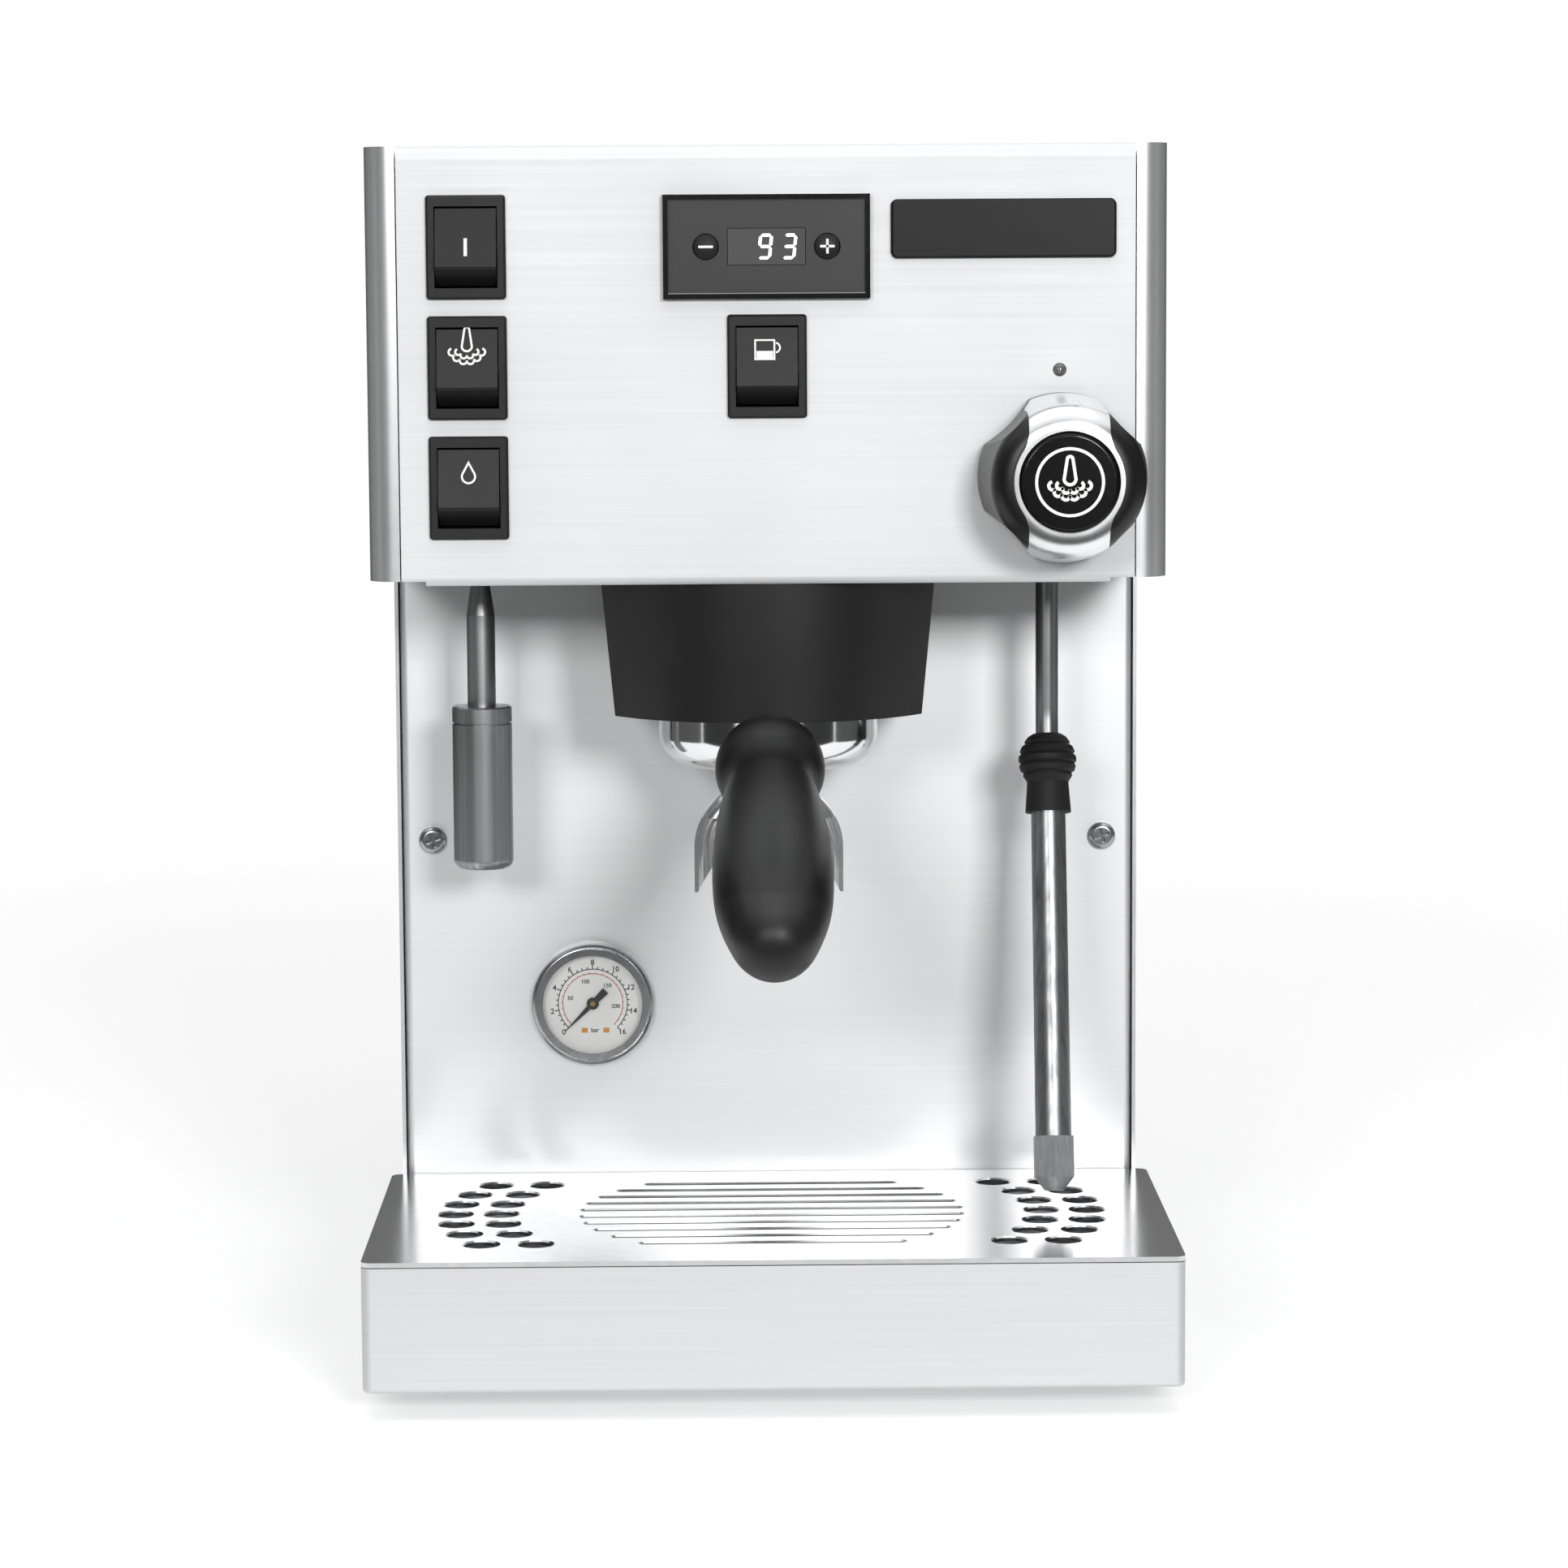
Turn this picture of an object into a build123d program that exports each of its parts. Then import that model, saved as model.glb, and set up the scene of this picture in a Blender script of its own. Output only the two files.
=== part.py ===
"""Single-group espresso machine with two boilers, in millimetres.

+Z is up, the front faces -Y, X = 0 is the middle plane and the origin lies on the counter, below the middle
of the overall length. Places in depth count from the splash panel behind the cup bay.
"""

import os
from math import cos, radians, sin, sqrt, tan

from build123d import *

os.makedirs("parts", exist_ok=True)

# Housing
BODY_WIDTH = 243.0
BODY_DEPTH = 283.0
SPLASH = -18.0
HEAD_OVERHANG = 106.0
HEAD_BOTTOM = 253.0
HEAD_HEIGHT = 131.0
SHEET = 1.2
EDGE_RADIUS = 8.5
PANEL_TOP_RADIUS = 4.0
PANEL_FLANGE = 14.0
LIP_RADIUS = 2.5
LIP_INSET = 17.5
LIP_DROP = 1.5
SPLASH_FLANGE = 9.0
CUP_TRAY_RECESS = 5.0
VENT_LENGTH = 52.0
VENT_WIDTH = 4.0
VENT_PITCH = 10.0
VENT_BRIDGE = 14.0
VENT_COLUMNS = 3
VENT_ROWS = 8
VENT_Z = 290.0
INLET_INSET = 35.5
INLET_Z = 60.0
INLET_WIDTH = 28.0
INLET_HEIGHT = 21.0
INLET_FLANGE = 4.0
INLET_DEPTH = 24.0
INLET_PINS = ((-7.0, -2.0), (0.0, 2.0), (7.0, -2.0))
PIN_WIDTH = 2.0
PIN_HEIGHT = 4.0
PIN_RECESS = 12.0

# Feet and base
FOOT_HEIGHT = 10.0
FOOT_DIAMETER = 32.0
FOOT_TAPER = 3.0
FEET_INSET = 28.5
FEET_SPACING_Y = 319.0
FRONT_FEET_SETBACK = 60.0
BASE_FLANGE = 18.0

# Drip tray and its grate
TRAY_WIDTH = 250.0
TRAY_REACH = 136.0
TRAY_HEIGHT = 39.0
TRAY_APRON = 1.5
TRAY_WALL = 1.5
TRAY_CORNER = 3.0
TRAY_EDGE_RADIUS = 1.2
GRATE_SHEET = 1.5
GRATE_SKIRT = 7.0
GRATE_EDGE = 0.5
SLOT_COUNT = 10
SLOT_WIDTH = 3.2
SLOT_PITCH = 10.0
SLOT_CIRCLE_RADIUS = 61.0
SLOT_CIRCLE_SETBACK = 70.6
HOLE_ROWS = 7
HOLE_DIAMETER = 11.0
HOLE_PITCH = 15.0
HOLE_CIRCLE_RADII = (100.4, 85.8)

# Control panel
SWITCH_WIDTH = 24.0
SWITCH_HEIGHT = 31.2
SWITCH_BEZEL = 2.0
SWITCH_CORNER = 1.0
SWITCH_BEVEL = 0.7
SWITCH_LAP = 2.4
SWITCH_DEPTH = 22.0
SWITCH_COLUMN_INSET = 31.0
SWITCH_PITCH = 36.2
SWITCH_ROW_Z = 317.6
ROCKER_OPENING_WIDTH = 19.0
ROCKER_OPENING_HEIGHT = 24.5
ROCKER_WELL = 13.0
ROCKER_END_GAP = 0.65
ROCKER_TOP_OUT = 1.2
ROCKER_RIDGE_DROP = 6.2
ROCKER_BACK = 8.0
ROCKER_RIDGE = 4.4
ROCKER_SWING = 12.0
TRUNNION_DIAMETER = 3.0
TRUNNION_REACH = 0.8
DISPLAY_WIDTH = 62.4
DISPLAY_HEIGHT = 31.3
DISPLAY_RIM = 1.6
DISPLAY_STANDOUT = 3.0
DISPLAY_SINK = 0.8
DISPLAY_PLATE = 3.0
DISPLAY_DEPTH = 18.0
DISPLAY_Z = 353.5
WINDOW_WIDTH = 23.3
WINDOW_HEIGHT = 10.8
WINDOW_THICKNESS = 1.0
BUTTON_DIAMETER = 7.4
BUTTON_OFFSET = 18.3
BUTTON_TRAVEL = 0.8
BUTTON_PROUD = 0.1
BUTTON_DOME = 0.9
BUTTON_COLLAR = 1.2
BADGE_GAP = 6.3
BADGE_END_GAP = 5.9
BADGE_HEIGHT = 17.7
BADGE_THICKNESS = 2.0
BADGE_CORNER = 2.0
BADGE_Z = 358.6
LAMP_DIAMETER = 4.1
LAMP_DOME = 0.8
LAMP_INSET = 33.0
LAMP_Z = 316.0

# Steam knob and wand
KNOB_INSET = 32.5
KNOB_Z = 283.7
KNOB_REAR_DIAMETER = 51.0
KNOB_FRONT_DIAMETER = 46.5
KNOB_REACH = 36.0
KNOB_GAP = 0.8
KNOB_SKIRT = 7.0
KNOB_SHOULDER = 7.0
KNOB_SCALLOP_RADIUS = 40.0
KNOB_SCALLOP_DEPTH = 3.0
BRIDGE_THICKNESS = 1.4
BRIDGE_HALF_WIDTH = 12.0
BRIDGE_RING_RADIUS = 16.5
KNOB_DISC_RADIUS = 14.7
KNOB_DISC_DEPTH = 2.4
STEM_DIAMETER = 8.0
STEM_IN_KNOB = 18.0
STEM_IN_VALVE = 26.0
VALVE_SETBACK = 26.0
VALVE_DIAMETER = 27.0
VALVE_LENGTH = 52.0
VALVE_LEG_DIAMETER = 22.0
VALVE_FLANGE = 6.0
WAND_OFFSET = 43.0
WAND_TOP_DIAMETER = 7.2
WAND_LOW_DIAMETER = 11.0
WAND_BALL_DIAMETER = 12.0
COLLAR_DIAMETER = 19.0
COLLAR_CAP = 1.2
COLLAR_BELOW_BALL = 4.0
WAND_TILT = 15.0
WAND_BEND_Z = 203.0
WAND_LEAN = 14.0
WAND_BEND_RADIUS = 30.0
WAND_GRIP_AT = 4.5
GRIP_DIAMETER = 18.5
GRIP_LENGTH = 25.0
GRIP_RIBS = 5
GRIP_RIBBED = 15.5
RIB_RISE_SHARE = 0.3
RIB_CREST_SHARE = 0.8
GRIP_GROOVE = 0.7
GRIP_WAIST = 13.2
GRIP_WALL = 1.4
GRIP_MOUTH = 5.0
GRIP_SWELL_START = 36.0
GRIP_SWELL_END = 136.0
TIP_ACROSS = 12.2
TIP_LENGTH = 17.0
TIP_CONE = 4.0
TIP_END_Z = 58.0

# Hot-water outlet
OUTLET_INSET = 30.5
OUTLET_TUBE_DIAMETER = 9.0
OUTLET_DIAMETER = 19.0
OUTLET_TOP_Z = 209.0
OUTLET_LENGTH = 52.0
OUTLET_ROUNDING = 3.0
OUTLET_SOCKET = 8.0
OUTLET_STUB = 6.0
OUTLET_TAPER_START = 5.0
OUTLET_TAPER = 10.0
OUTLET_BAND = 5.0
OUTLET_GROOVE = 0.6

# Splash panel and gauge
SCREW_INSET = 11.5
SCREW_Z = 160.6
SCREW_HEAD_DIAMETER = 9.0
SCREW_DIAMETER = 4.0
SCREW_HEAD_HEIGHT = 2.8
SCREW_ROUNDING = 1.8
SCREW_LENGTH = 4.4
CROSS_LENGTH = 5.2
CROSS_WIDTH = 1.2
CROSS_DEPTH = 1.6
CROSS_TURN = 20.0
GAUGE_INSET = 63.5
GAUGE_Z = 106.0
GAUGE_DIAMETER = 40.0
GAUGE_STANDOUT = 5.0
GAUGE_DEPTH = 24.0
GAUGE_LAP = 2.0
DIAL_DIAMETER = 33.5
DIAL_SEAT = 0.5
DIAL_THICKNESS = 0.8
GAUGE_GLASS_OUT = 4.0
GLASS_THICKNESS = 1.0
GAUGE_ROUNDING = 1.5
SPINDLE_DIAMETER = 2.0
SPINDLE_LENGTH = 6.0
NEEDLE_LENGTH = 13.0
NEEDLE_TAIL = 6.0
NEEDLE_HALF = 0.9
NEEDLE_TAIL_HALF = 1.2
NEEDLE_THICKNESS = 0.6
NEEDLE_ZERO = 225.0

# Group and portafilter
GROUP_OFFSET = 53.0
GROUP_NECK_DIAMETER = 70.0
GROUP_RING_DIAMETER = 86.0
GROUP_RING_HEIGHT = 40.0
GROUP_LIP_HEIGHT = 6.0
WATER_BORE = 10.0
COVER_TOP_WIDTH = 103.7
COVER_LOW_WIDTH = 95.6
COVER_FRONT = 48.5
COVER_FRONT_FLARE = 2.0
COVER_BULGE = 27.0
COVER_BACK = 46.0
COVER_WALL = 3.0
COVER_RIM_Z = 208.6
BASKET_BORE = 58.0
BASKET_DEPTH = 25.0
BASKET_WALL = 1.0
BASKET_LIP = 3.0
BASKET_ROOM = 0.8
BOWL_DIAMETER = 69.0
BOWL_BOTTOM_Z = 191.0
BOWL_RIM_Z = 222.0
BOWL_FLOOR = 4.5
BOWL_ROUNDING = 10.0
SPRING_WIRE = 1.0
SPRING_DROP = 6.0
EAR_REACH = 4.5
EAR_HEIGHT = 6.0
EAR_WIDTH = 26.0
EAR_DROP = 1.8
LOCK_TURN = 55.0
GASKET_HEIGHT = 8.0
SCREEN_THICKNESS = 3.0
SCREEN_GAP = 1.5
SHANK_DIAMETER = 13.0
SHANK_Z = 196.0
SHANK_IN_HANDLE = 6.0
BALL_DIAMETER = 33.2
BALL_REACH = 69.0
BALL_Z = 196.8
BALL_EDGE_ANGLE = 60.0
HANDLE_TILT = 16.5
HANDLE_LENGTH = 133.0
HANDLE_NECK_DIAMETER = 25.6
HANDLE_NECK_AT = 17.0
HANDLE_DIAMETER = 34.8
HANDLE_WIDEST_AT = 77.0
HANDLE_END_DIAMETER = 27.0
HANDLE_END_AT = 118.0
CAP_SEAM_AT = 97.0
CAP_SEAM_SLOPE = 31.0
SPOUT_WIDTH = 47.4
SPOUT_TUBE_DIAMETER = 9.0
SPOUT_HUB_DIAMETER = 20.0
SPOUT_HUB_HEIGHT = 15.0
SPOUT_BEND_RADIUS = 16.0
SPOUT_BORE = 6.4
SPOUT_FEED = 5.0
SPOUT_OPEN_AT = 1.0
SPOUT_OPEN_HEIGHT = 24.0
SPOUT_SLANT = 58.0
SPOUT_TIP = 1.0
SPOUT_END_Z = 150.0

# Inside the housing
SHELF_HEIGHT = 9.0
SHELF_THICKNESS = 3.0
SHELF_BEHIND = 44.0
CHEEK = 1.5
CHEEK_MARGIN = 24.0
CHEEK_CORNER = 12.0
SCREW_BAR_HEIGHT = 20.0
SCREW_BAR_DEPTH = 6.0
SCREW_BAR_SHEET = 2.0
SCREW_BAR_OPEN = 190.0
CUP_STRIP_DEPTH = 12.0
COFFEE_BOILER_DIAMETER = 58.0
COFFEE_BOILER_HEIGHT = 74.0
BOILER_FLANGE = 5.0
BOILER_FLANGE_WIDTH = 9.5
BOILER_DOME = 14.0
BOILER_PORT_X = 20.0
PORT_DIAMETER = 12.0
PORT_HEIGHT = 10.0
SOLENOID_GAP = 8.5
SOLENOID_WIDTH = 22.0
SOLENOID_DEPTH = 30.0
SOLENOID_BLOCK = 22.0
SOLENOID_COIL = 30.0
STEAM_BOILER_DIAMETER = 104.0
STEAM_BOILER_HEIGHT = 150.0
STEAM_BOILER_LEGS = 40.0
STEAM_BOILER_X = -45.0
STEAM_BOILER_SETBACK = 99.0
LEG_DIAMETER = 10.0
TANK_WIDTH = 160.0
TANK_X = 24.0
TANK_DEPTH = 72.0
TANK_WALL = 2.5
TANK_CORNER = 10.0
TANK_LID_DEPTH = 88.0
TANK_LID_THICKNESS = 1.5
LID_RIM_DROP = 8.0
LID_HOLE_LENGTH = 60.0
LID_HOLE_WIDTH = 26.0
PUMP_DIAMETER = 62.0
PUMP_LENGTH = 96.0
PUMP_INSET = 59.5
PUMP_SETBACK = 60.0
PUMP_SADDLE = 12.0
PUMP_SADDLE_WIDTH = 50.0
PUMP_HEAD_DIAMETER = 46.0
PUMP_HEAD_LENGTH = 34.0
PUMP_PORT_SETBACK = 64.0
PIPE_DIAMETER = 6.0
PIPE_BEND = 8.0
PIPE_STEP = 18.0

# Clearances
SEAM = 0.4
RUNNING_GAP = 0.3
SLIDE_GAP = 0.5

# Levels and places that follow
BODY_TOP = HEAD_BOTTOM + HEAD_HEIGHT
BODY_HALF = BODY_WIDTH / 2
LIP_WIDTH = BODY_WIDTH - 2 * LIP_INSET
FEET_SPACING_X = BODY_WIDTH - 2 * FEET_INSET
INLET_X = INLET_INSET - BODY_HALF
SWITCH_COLUMN_X = SWITCH_COLUMN_INSET - BODY_HALF
OUTLET_X = OUTLET_INSET - BODY_HALF
GAUGE_X = GAUGE_INSET - BODY_HALF
SCREW_X = BODY_HALF - SCREW_INSET
KNOB_X = BODY_HALF - KNOB_INSET
LAMP_X = BODY_HALF - LAMP_INSET
TRAY_FRONT = SPLASH - TRAY_REACH
FEET_MIDDLE = TRAY_FRONT + FRONT_FEET_SETBACK + FEET_SPACING_Y / 2
HEAD_FRONT = SPLASH - HEAD_OVERHANG
BACK = SPLASH + BODY_DEPTH
BASE_TOP = FOOT_HEIGHT + SHEET
TRAY_TOP = FOOT_HEIGHT + TRAY_HEIGHT
TRAY_BOTTOM = FOOT_HEIGHT - TRAY_APRON
INNER_HALF = BODY_HALF - SHEET
CHEEK_HALF = INNER_HALF - CHEEK
SHELF_BOTTOM = HEAD_BOTTOM + SHELF_HEIGHT
SHELF_TOP = SHELF_BOTTOM + SHELF_THICKNESS
CUP_TRAY_TOP = BODY_TOP - CUP_TRAY_RECESS
TANK_LID_FRONT = BACK - TANK_LID_DEPTH
GROUP_Y = SPLASH - GROUP_OFFSET
WAND_Y = SPLASH - WAND_OFFSET
GROUP_AXIS = Axis((0, GROUP_Y, 0), (0, 0, 1))
LIP_BOTTOM = HEAD_BOTTOM - LIP_DROP
UNDERSIDE_BOTTOM = LIP_BOTTOM + SHEET
UNDERSIDE_FRONT = HEAD_FRONT + EDGE_RADIUS + SEAM
PANEL_HALF = BODY_HALF - EDGE_RADIUS - SHEET - SEAM
BADGE_START = DISPLAY_WIDTH / 2 + BADGE_GAP
BADGE_WIDTH = PANEL_HALF - BADGE_END_GAP - BADGE_START
BADGE_X = BADGE_START + BADGE_WIDTH / 2
SWITCH_PLACES = (
    (SWITCH_COLUMN_X, SWITCH_ROW_Z + SWITCH_PITCH),
    (SWITCH_COLUMN_X, SWITCH_ROW_Z),
    (SWITCH_COLUMN_X, SWITCH_ROW_Z - SWITCH_PITCH),
    (0, SWITCH_ROW_Z),
)
GAUGE_CASE_DIAMETER = GAUGE_DIAMETER - 2 * GAUGE_LAP
BASE_FRONT = TRAY_FRONT + TRAY_WALL + SLIDE_GAP
TANK_LID_BOTTOM = BODY_TOP - TANK_LID_THICKNESS
TANK_TOP = TANK_LID_BOTTOM - RUNNING_GAP
TANK_Y = BACK - SHEET - SLIDE_GAP - TANK_DEPTH / 2
CUP_TRAY_FRONT = HEAD_FRONT + PANEL_FLANGE + SEAM
CUP_TRAY_DEPTH = TANK_LID_FRONT - SEAM - CUP_TRAY_FRONT
CHEEK_TOP = CUP_TRAY_TOP - SHEET
CHEEK_NOSE = HEAD_FRONT + PANEL_FLANGE
LID_RIM_LESS = 2 * (TANK_WALL + SLIDE_GAP)
TRAY_LENGTH = TRAY_REACH - SLIDE_GAP
TRAY_RIM = TRAY_TOP - GRATE_SHEET - RUNNING_GAP
GRATE_MIDDLE = TRAY_FRONT + SLOT_CIRCLE_SETBACK
FOOT_ALIGN = (Align.CENTER, Align.CENTER, Align.MIN)
BOWL_RADIUS = BOWL_DIAMETER / 2
EAR_RADIUS = BOWL_RADIUS + EAR_REACH
EAR_TOP = BOWL_RIM_Z - EAR_DROP
GASKET_BOTTOM = BOWL_RIM_Z + BASKET_WALL + RUNNING_GAP
GASKET_TOP = GASKET_BOTTOM + GASKET_HEIGHT
GROUP_BOTTOM = EAR_TOP - EAR_HEIGHT - RUNNING_GAP - GROUP_LIP_HEIGHT
GROUP_SHOULDER = GROUP_BOTTOM + GROUP_RING_HEIGHT
BASKET_RADIUS = BASKET_BORE / 2 + BASKET_WALL
WELL_RADIUS = BASKET_RADIUS + BASKET_ROOM
SPRING_Z = BOWL_RIM_Z - SPRING_DROP
BALL_RADIUS = BALL_DIAMETER / 2
BALL_CENTRE = (0, GROUP_Y - BALL_REACH, BALL_Z)
HANDLE_WAY = (0, -cos(radians(HANDLE_TILT)), -sin(radians(HANDLE_TILT)))
HANDLE_PLANE = Plane(origin=BALL_CENTRE, x_dir=HANDLE_WAY, z_dir=(1, 0, 0))
GROUP_PLANE = Plane.XZ.offset(-GROUP_Y)
SWITCH_NAMES = ("power", "steam", "water", "coffee")
ROCKER_HALF_HEIGHT = ROCKER_OPENING_HEIGHT / 2 - ROCKER_END_GAP
ROCKER_LOW_IN = ROCKER_HALF_HEIGHT * sin(radians(ROCKER_SWING))
BUTTON_RIM = BUTTON_TRAVEL + BUTTON_PROUD
DISPLAY_FACE = HEAD_FRONT - DISPLAY_STANDOUT + DISPLAY_SINK
COLLAR_TOP = SHELF_BOTTOM
WAND_BALL_Z = COLLAR_TOP - RUNNING_GAP - COLLAR_CAP - RUNNING_GAP - WAND_BALL_DIAMETER / 2
COLLAR_HEIGHT = COLLAR_TOP - RUNNING_GAP - WAND_BALL_Z + COLLAR_BELOW_BALL
TILTED_TUBE_EDGE = WAND_TOP_DIAMETER / 2 / cos(radians(WAND_TILT))
COLLAR_MOUTH_RADIUS = COLLAR_BELOW_BALL * tan(radians(WAND_TILT)) + TILTED_TUBE_EDGE + RUNNING_GAP
WAND_HOLE_DIAMETER = COLLAR_DIAMETER + 2 * SLIDE_GAP
WAND_WAY = (0, -sin(radians(WAND_LEAN)), -cos(radians(WAND_LEAN)))
WAND_BEND = (KNOB_X, WAND_Y, WAND_BEND_Z)
WAND_PLANE = Plane(origin=WAND_BEND, x_dir=WAND_WAY, z_dir=(1, 0, 0))
WAND_AXIS = Axis(WAND_BEND, WAND_WAY)
WAND_REACH = (WAND_BEND_Z - TIP_END_Z) / cos(radians(WAND_LEAN))
DIAL_BACK = SPLASH - DIAL_SEAT
SCREEN_BOTTOM = GASKET_TOP - SCREEN_THICKNESS - SCREEN_GAP
SCREW_PLANES = (
    Plane(origin=(-SCREW_X, SPLASH, SCREW_Z), x_dir=(1, 0, 0), z_dir=(0, -1, 0)),
    Plane(origin=(SCREW_X, SPLASH, SCREW_Z), x_dir=(1, 0, 0), z_dir=(0, -1, 0)),
    Plane(origin=(0, GROUP_Y, SCREEN_BOTTOM), x_dir=(1, 0, 0), z_dir=(0, 0, -1)),
)
STEAM_BOILER_Y = SPLASH + STEAM_BOILER_SETBACK
STEAM_BOILER_TOP = BASE_TOP + STEAM_BOILER_LEGS + STEAM_BOILER_HEIGHT
SOLENOID_X = -COFFEE_BOILER_DIAMETER / 2 - BOILER_FLANGE_WIDTH - SOLENOID_GAP - SOLENOID_WIDTH / 2
PUMP_X = BODY_HALF - PUMP_INSET
PUMP_FRONT = SPLASH + PUMP_SETBACK
PUMP_PORT_Y = PUMP_FRONT + PUMP_PORT_SETBACK
PUMP_Z = BASE_TOP + PUMP_SADDLE + PUMP_DIAMETER / 2


def front_plane(y):
    """Plane facing the front at depth y: its own x is X and its own y is Z."""
    return Plane.XZ.offset(-y)


def side_plane(x):
    """Plane facing +X at x: its own x is Y and its own y is Z."""
    return Plane.YZ.offset(x)


def write(part, name):
    """Label a finished piece and write its file."""
    part.label = name
    export_step(part, f"parts/{name}.step")


# Side panels: flat sheets whose front edge rolls round the head, cut away in front of the cup bay
with BuildPart() as right_side_panel:
    with BuildSketch(Plane.XY.offset(FOOT_HEIGHT)):
        with BuildLine():
            FilletPolyline(
                (BODY_HALF, BACK),
                (BODY_HALF, HEAD_FRONT),
                (BODY_HALF - EDGE_RADIUS - SHEET, HEAD_FRONT),
                radius=EDGE_RADIUS,
            )
            offset(amount=SHEET, side=Side.RIGHT)
        make_face()
    extrude(amount=BODY_TOP - FOOT_HEIGHT)
    with BuildSketch(side_plane(0)):
        with Locations((SPLASH, HEAD_BOTTOM)):
            Rectangle(2 * HEAD_OVERHANG, 2 * HEAD_BOTTOM, align=(Align.MAX, Align.MAX))
    extrude(amount=BODY_WIDTH, mode=Mode.SUBTRACT)
write(right_side_panel.part, "right_side_panel")

with BuildPart() as left_side_panel:
    mirror(right_side_panel.part, about=Plane.YZ)
write(left_side_panel.part, "left_side_panel")

# Control panel: one sheet folded back at the top and at the lower lip, with the cut-outs of what it carries
with BuildPart() as control_panel:
    with BuildSketch(side_plane(-PANEL_HALF)):
        with BuildLine():
            FilletPolyline(
                (HEAD_FRONT + PANEL_FLANGE, BODY_TOP),
                (HEAD_FRONT, BODY_TOP),
                (HEAD_FRONT, LIP_BOTTOM),
                (HEAD_FRONT + PANEL_FLANGE, LIP_BOTTOM),
                radius=[PANEL_TOP_RADIUS, LIP_RADIUS],
            )
            offset(amount=SHEET, side=Side.LEFT)
        make_face()
    extrude(amount=2 * PANEL_HALF)
    with BuildSketch(front_plane(HEAD_FRONT)):
        with Locations((-PANEL_HALF, HEAD_BOTTOM), (PANEL_HALF, HEAD_BOTTOM)):
            Rectangle(2 * PANEL_HALF - LIP_WIDTH, 2 * LIP_DROP, align=(Align.CENTER, Align.MAX))
    extrude(amount=-PANEL_FLANGE, mode=Mode.SUBTRACT)
    with BuildSketch(front_plane(HEAD_FRONT)):
        with Locations(*SWITCH_PLACES):
            Rectangle(SWITCH_WIDTH - SWITCH_LAP, SWITCH_HEIGHT - SWITCH_LAP)
        with Locations((0, DISPLAY_Z)):
            Rectangle(DISPLAY_WIDTH - SWITCH_LAP, DISPLAY_HEIGHT - SWITCH_LAP)
        with Locations((KNOB_X, KNOB_Z)):
            Circle(STEM_DIAMETER / 2 + SLIDE_GAP)
        with Locations((LAMP_X, LAMP_Z)):
            Circle(LAMP_DIAMETER / 2)
    extrude(amount=-SHEET, mode=Mode.SUBTRACT)
write(control_panel.part, "control_panel")

# Underside of the head: a flat sheet on the lip, open for the group, the wand and the hot-water tube
with BuildPart() as head_underside:
    with BuildSketch(Plane.XY.offset(UNDERSIDE_BOTTOM)):
        with Locations((0, UNDERSIDE_FRONT)):
            underside_depth = SPLASH + SPLASH_FLANGE - UNDERSIDE_FRONT
            Rectangle(2 * CHEEK_HALF, underside_depth, align=(Align.CENTER, Align.MIN))
        with Locations((0, GROUP_Y)):
            Circle(GROUP_NECK_DIAMETER / 2 + SLIDE_GAP, mode=Mode.SUBTRACT)
        with Locations((KNOB_X, WAND_Y)):
            Circle(WAND_HOLE_DIAMETER / 2, mode=Mode.SUBTRACT)
        with Locations((OUTLET_X, WAND_Y)):
            Circle(OUTLET_TUBE_DIAMETER / 2 + SEAM, mode=Mode.SUBTRACT)
    extrude(amount=SHEET)
write(head_underside.part, "head_underside")

# Splash panel: a sheet with folded side edges, open for the gauge and its two screws
with BuildPart() as splash_panel:
    with BuildSketch(Plane.XY.offset(BASE_TOP)):
        with BuildLine():
            FilletPolyline(
                (-INNER_HALF + SEAM, SPLASH + SPLASH_FLANGE),
                (-INNER_HALF + SEAM, SPLASH),
                (INNER_HALF - SEAM, SPLASH),
                (INNER_HALF - SEAM, SPLASH + SPLASH_FLANGE),
                radius=LIP_RADIUS,
            )
            offset(amount=SHEET, side=Side.LEFT)
        make_face()
    extrude(amount=UNDERSIDE_BOTTOM - SEAM - BASE_TOP)
    with BuildSketch(front_plane(SPLASH)):
        with Locations((GAUGE_X, GAUGE_Z)):
            Circle(GAUGE_CASE_DIAMETER / 2)
        with Locations((-SCREW_X, SCREW_Z), (SCREW_X, SCREW_Z)):
            Circle(SCREW_DIAMETER / 2)
    extrude(amount=-SHEET, mode=Mode.SUBTRACT)
write(splash_panel.part, "splash_panel")

# Base pan: floor sheet that runs on under the drip tray, with upturned sides inside the housing
with BuildPart() as base_pan:
    with BuildSketch(Plane.XY.offset(FOOT_HEIGHT)):
        with Locations((0, BASE_FRONT)):
            Rectangle(2 * INNER_HALF, BACK - SHEET - BASE_FRONT, align=(Align.CENTER, Align.MIN))
    extrude(amount=SHEET)
    with BuildSketch(Plane.XY.offset(BASE_TOP)):
        with Locations((CHEEK_HALF, SPLASH + SPLASH_FLANGE), (SHEET - CHEEK_HALF, SPLASH + SPLASH_FLANGE)):
            base_flange_length = BODY_DEPTH - SPLASH_FLANGE - SHEET
            Rectangle(SHEET, base_flange_length, align=(Align.MAX, Align.MIN))
    extrude(amount=BASE_FLANGE)
write(base_pan.part, "base_pan")

# Four rubber feet
with BuildPart() as feet:
    with Locations((0, FEET_MIDDLE)):
        with GridLocations(FEET_SPACING_X, FEET_SPACING_Y, 2, 2):
            Cone(FOOT_DIAMETER / 2 - FOOT_TAPER, FOOT_DIAMETER / 2, FOOT_HEIGHT, align=FOOT_ALIGN)
    fillet(feet.edges().group_by(Axis.Z)[0], FOOT_TAPER / 2)
write(feet.part, "feet")

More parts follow.
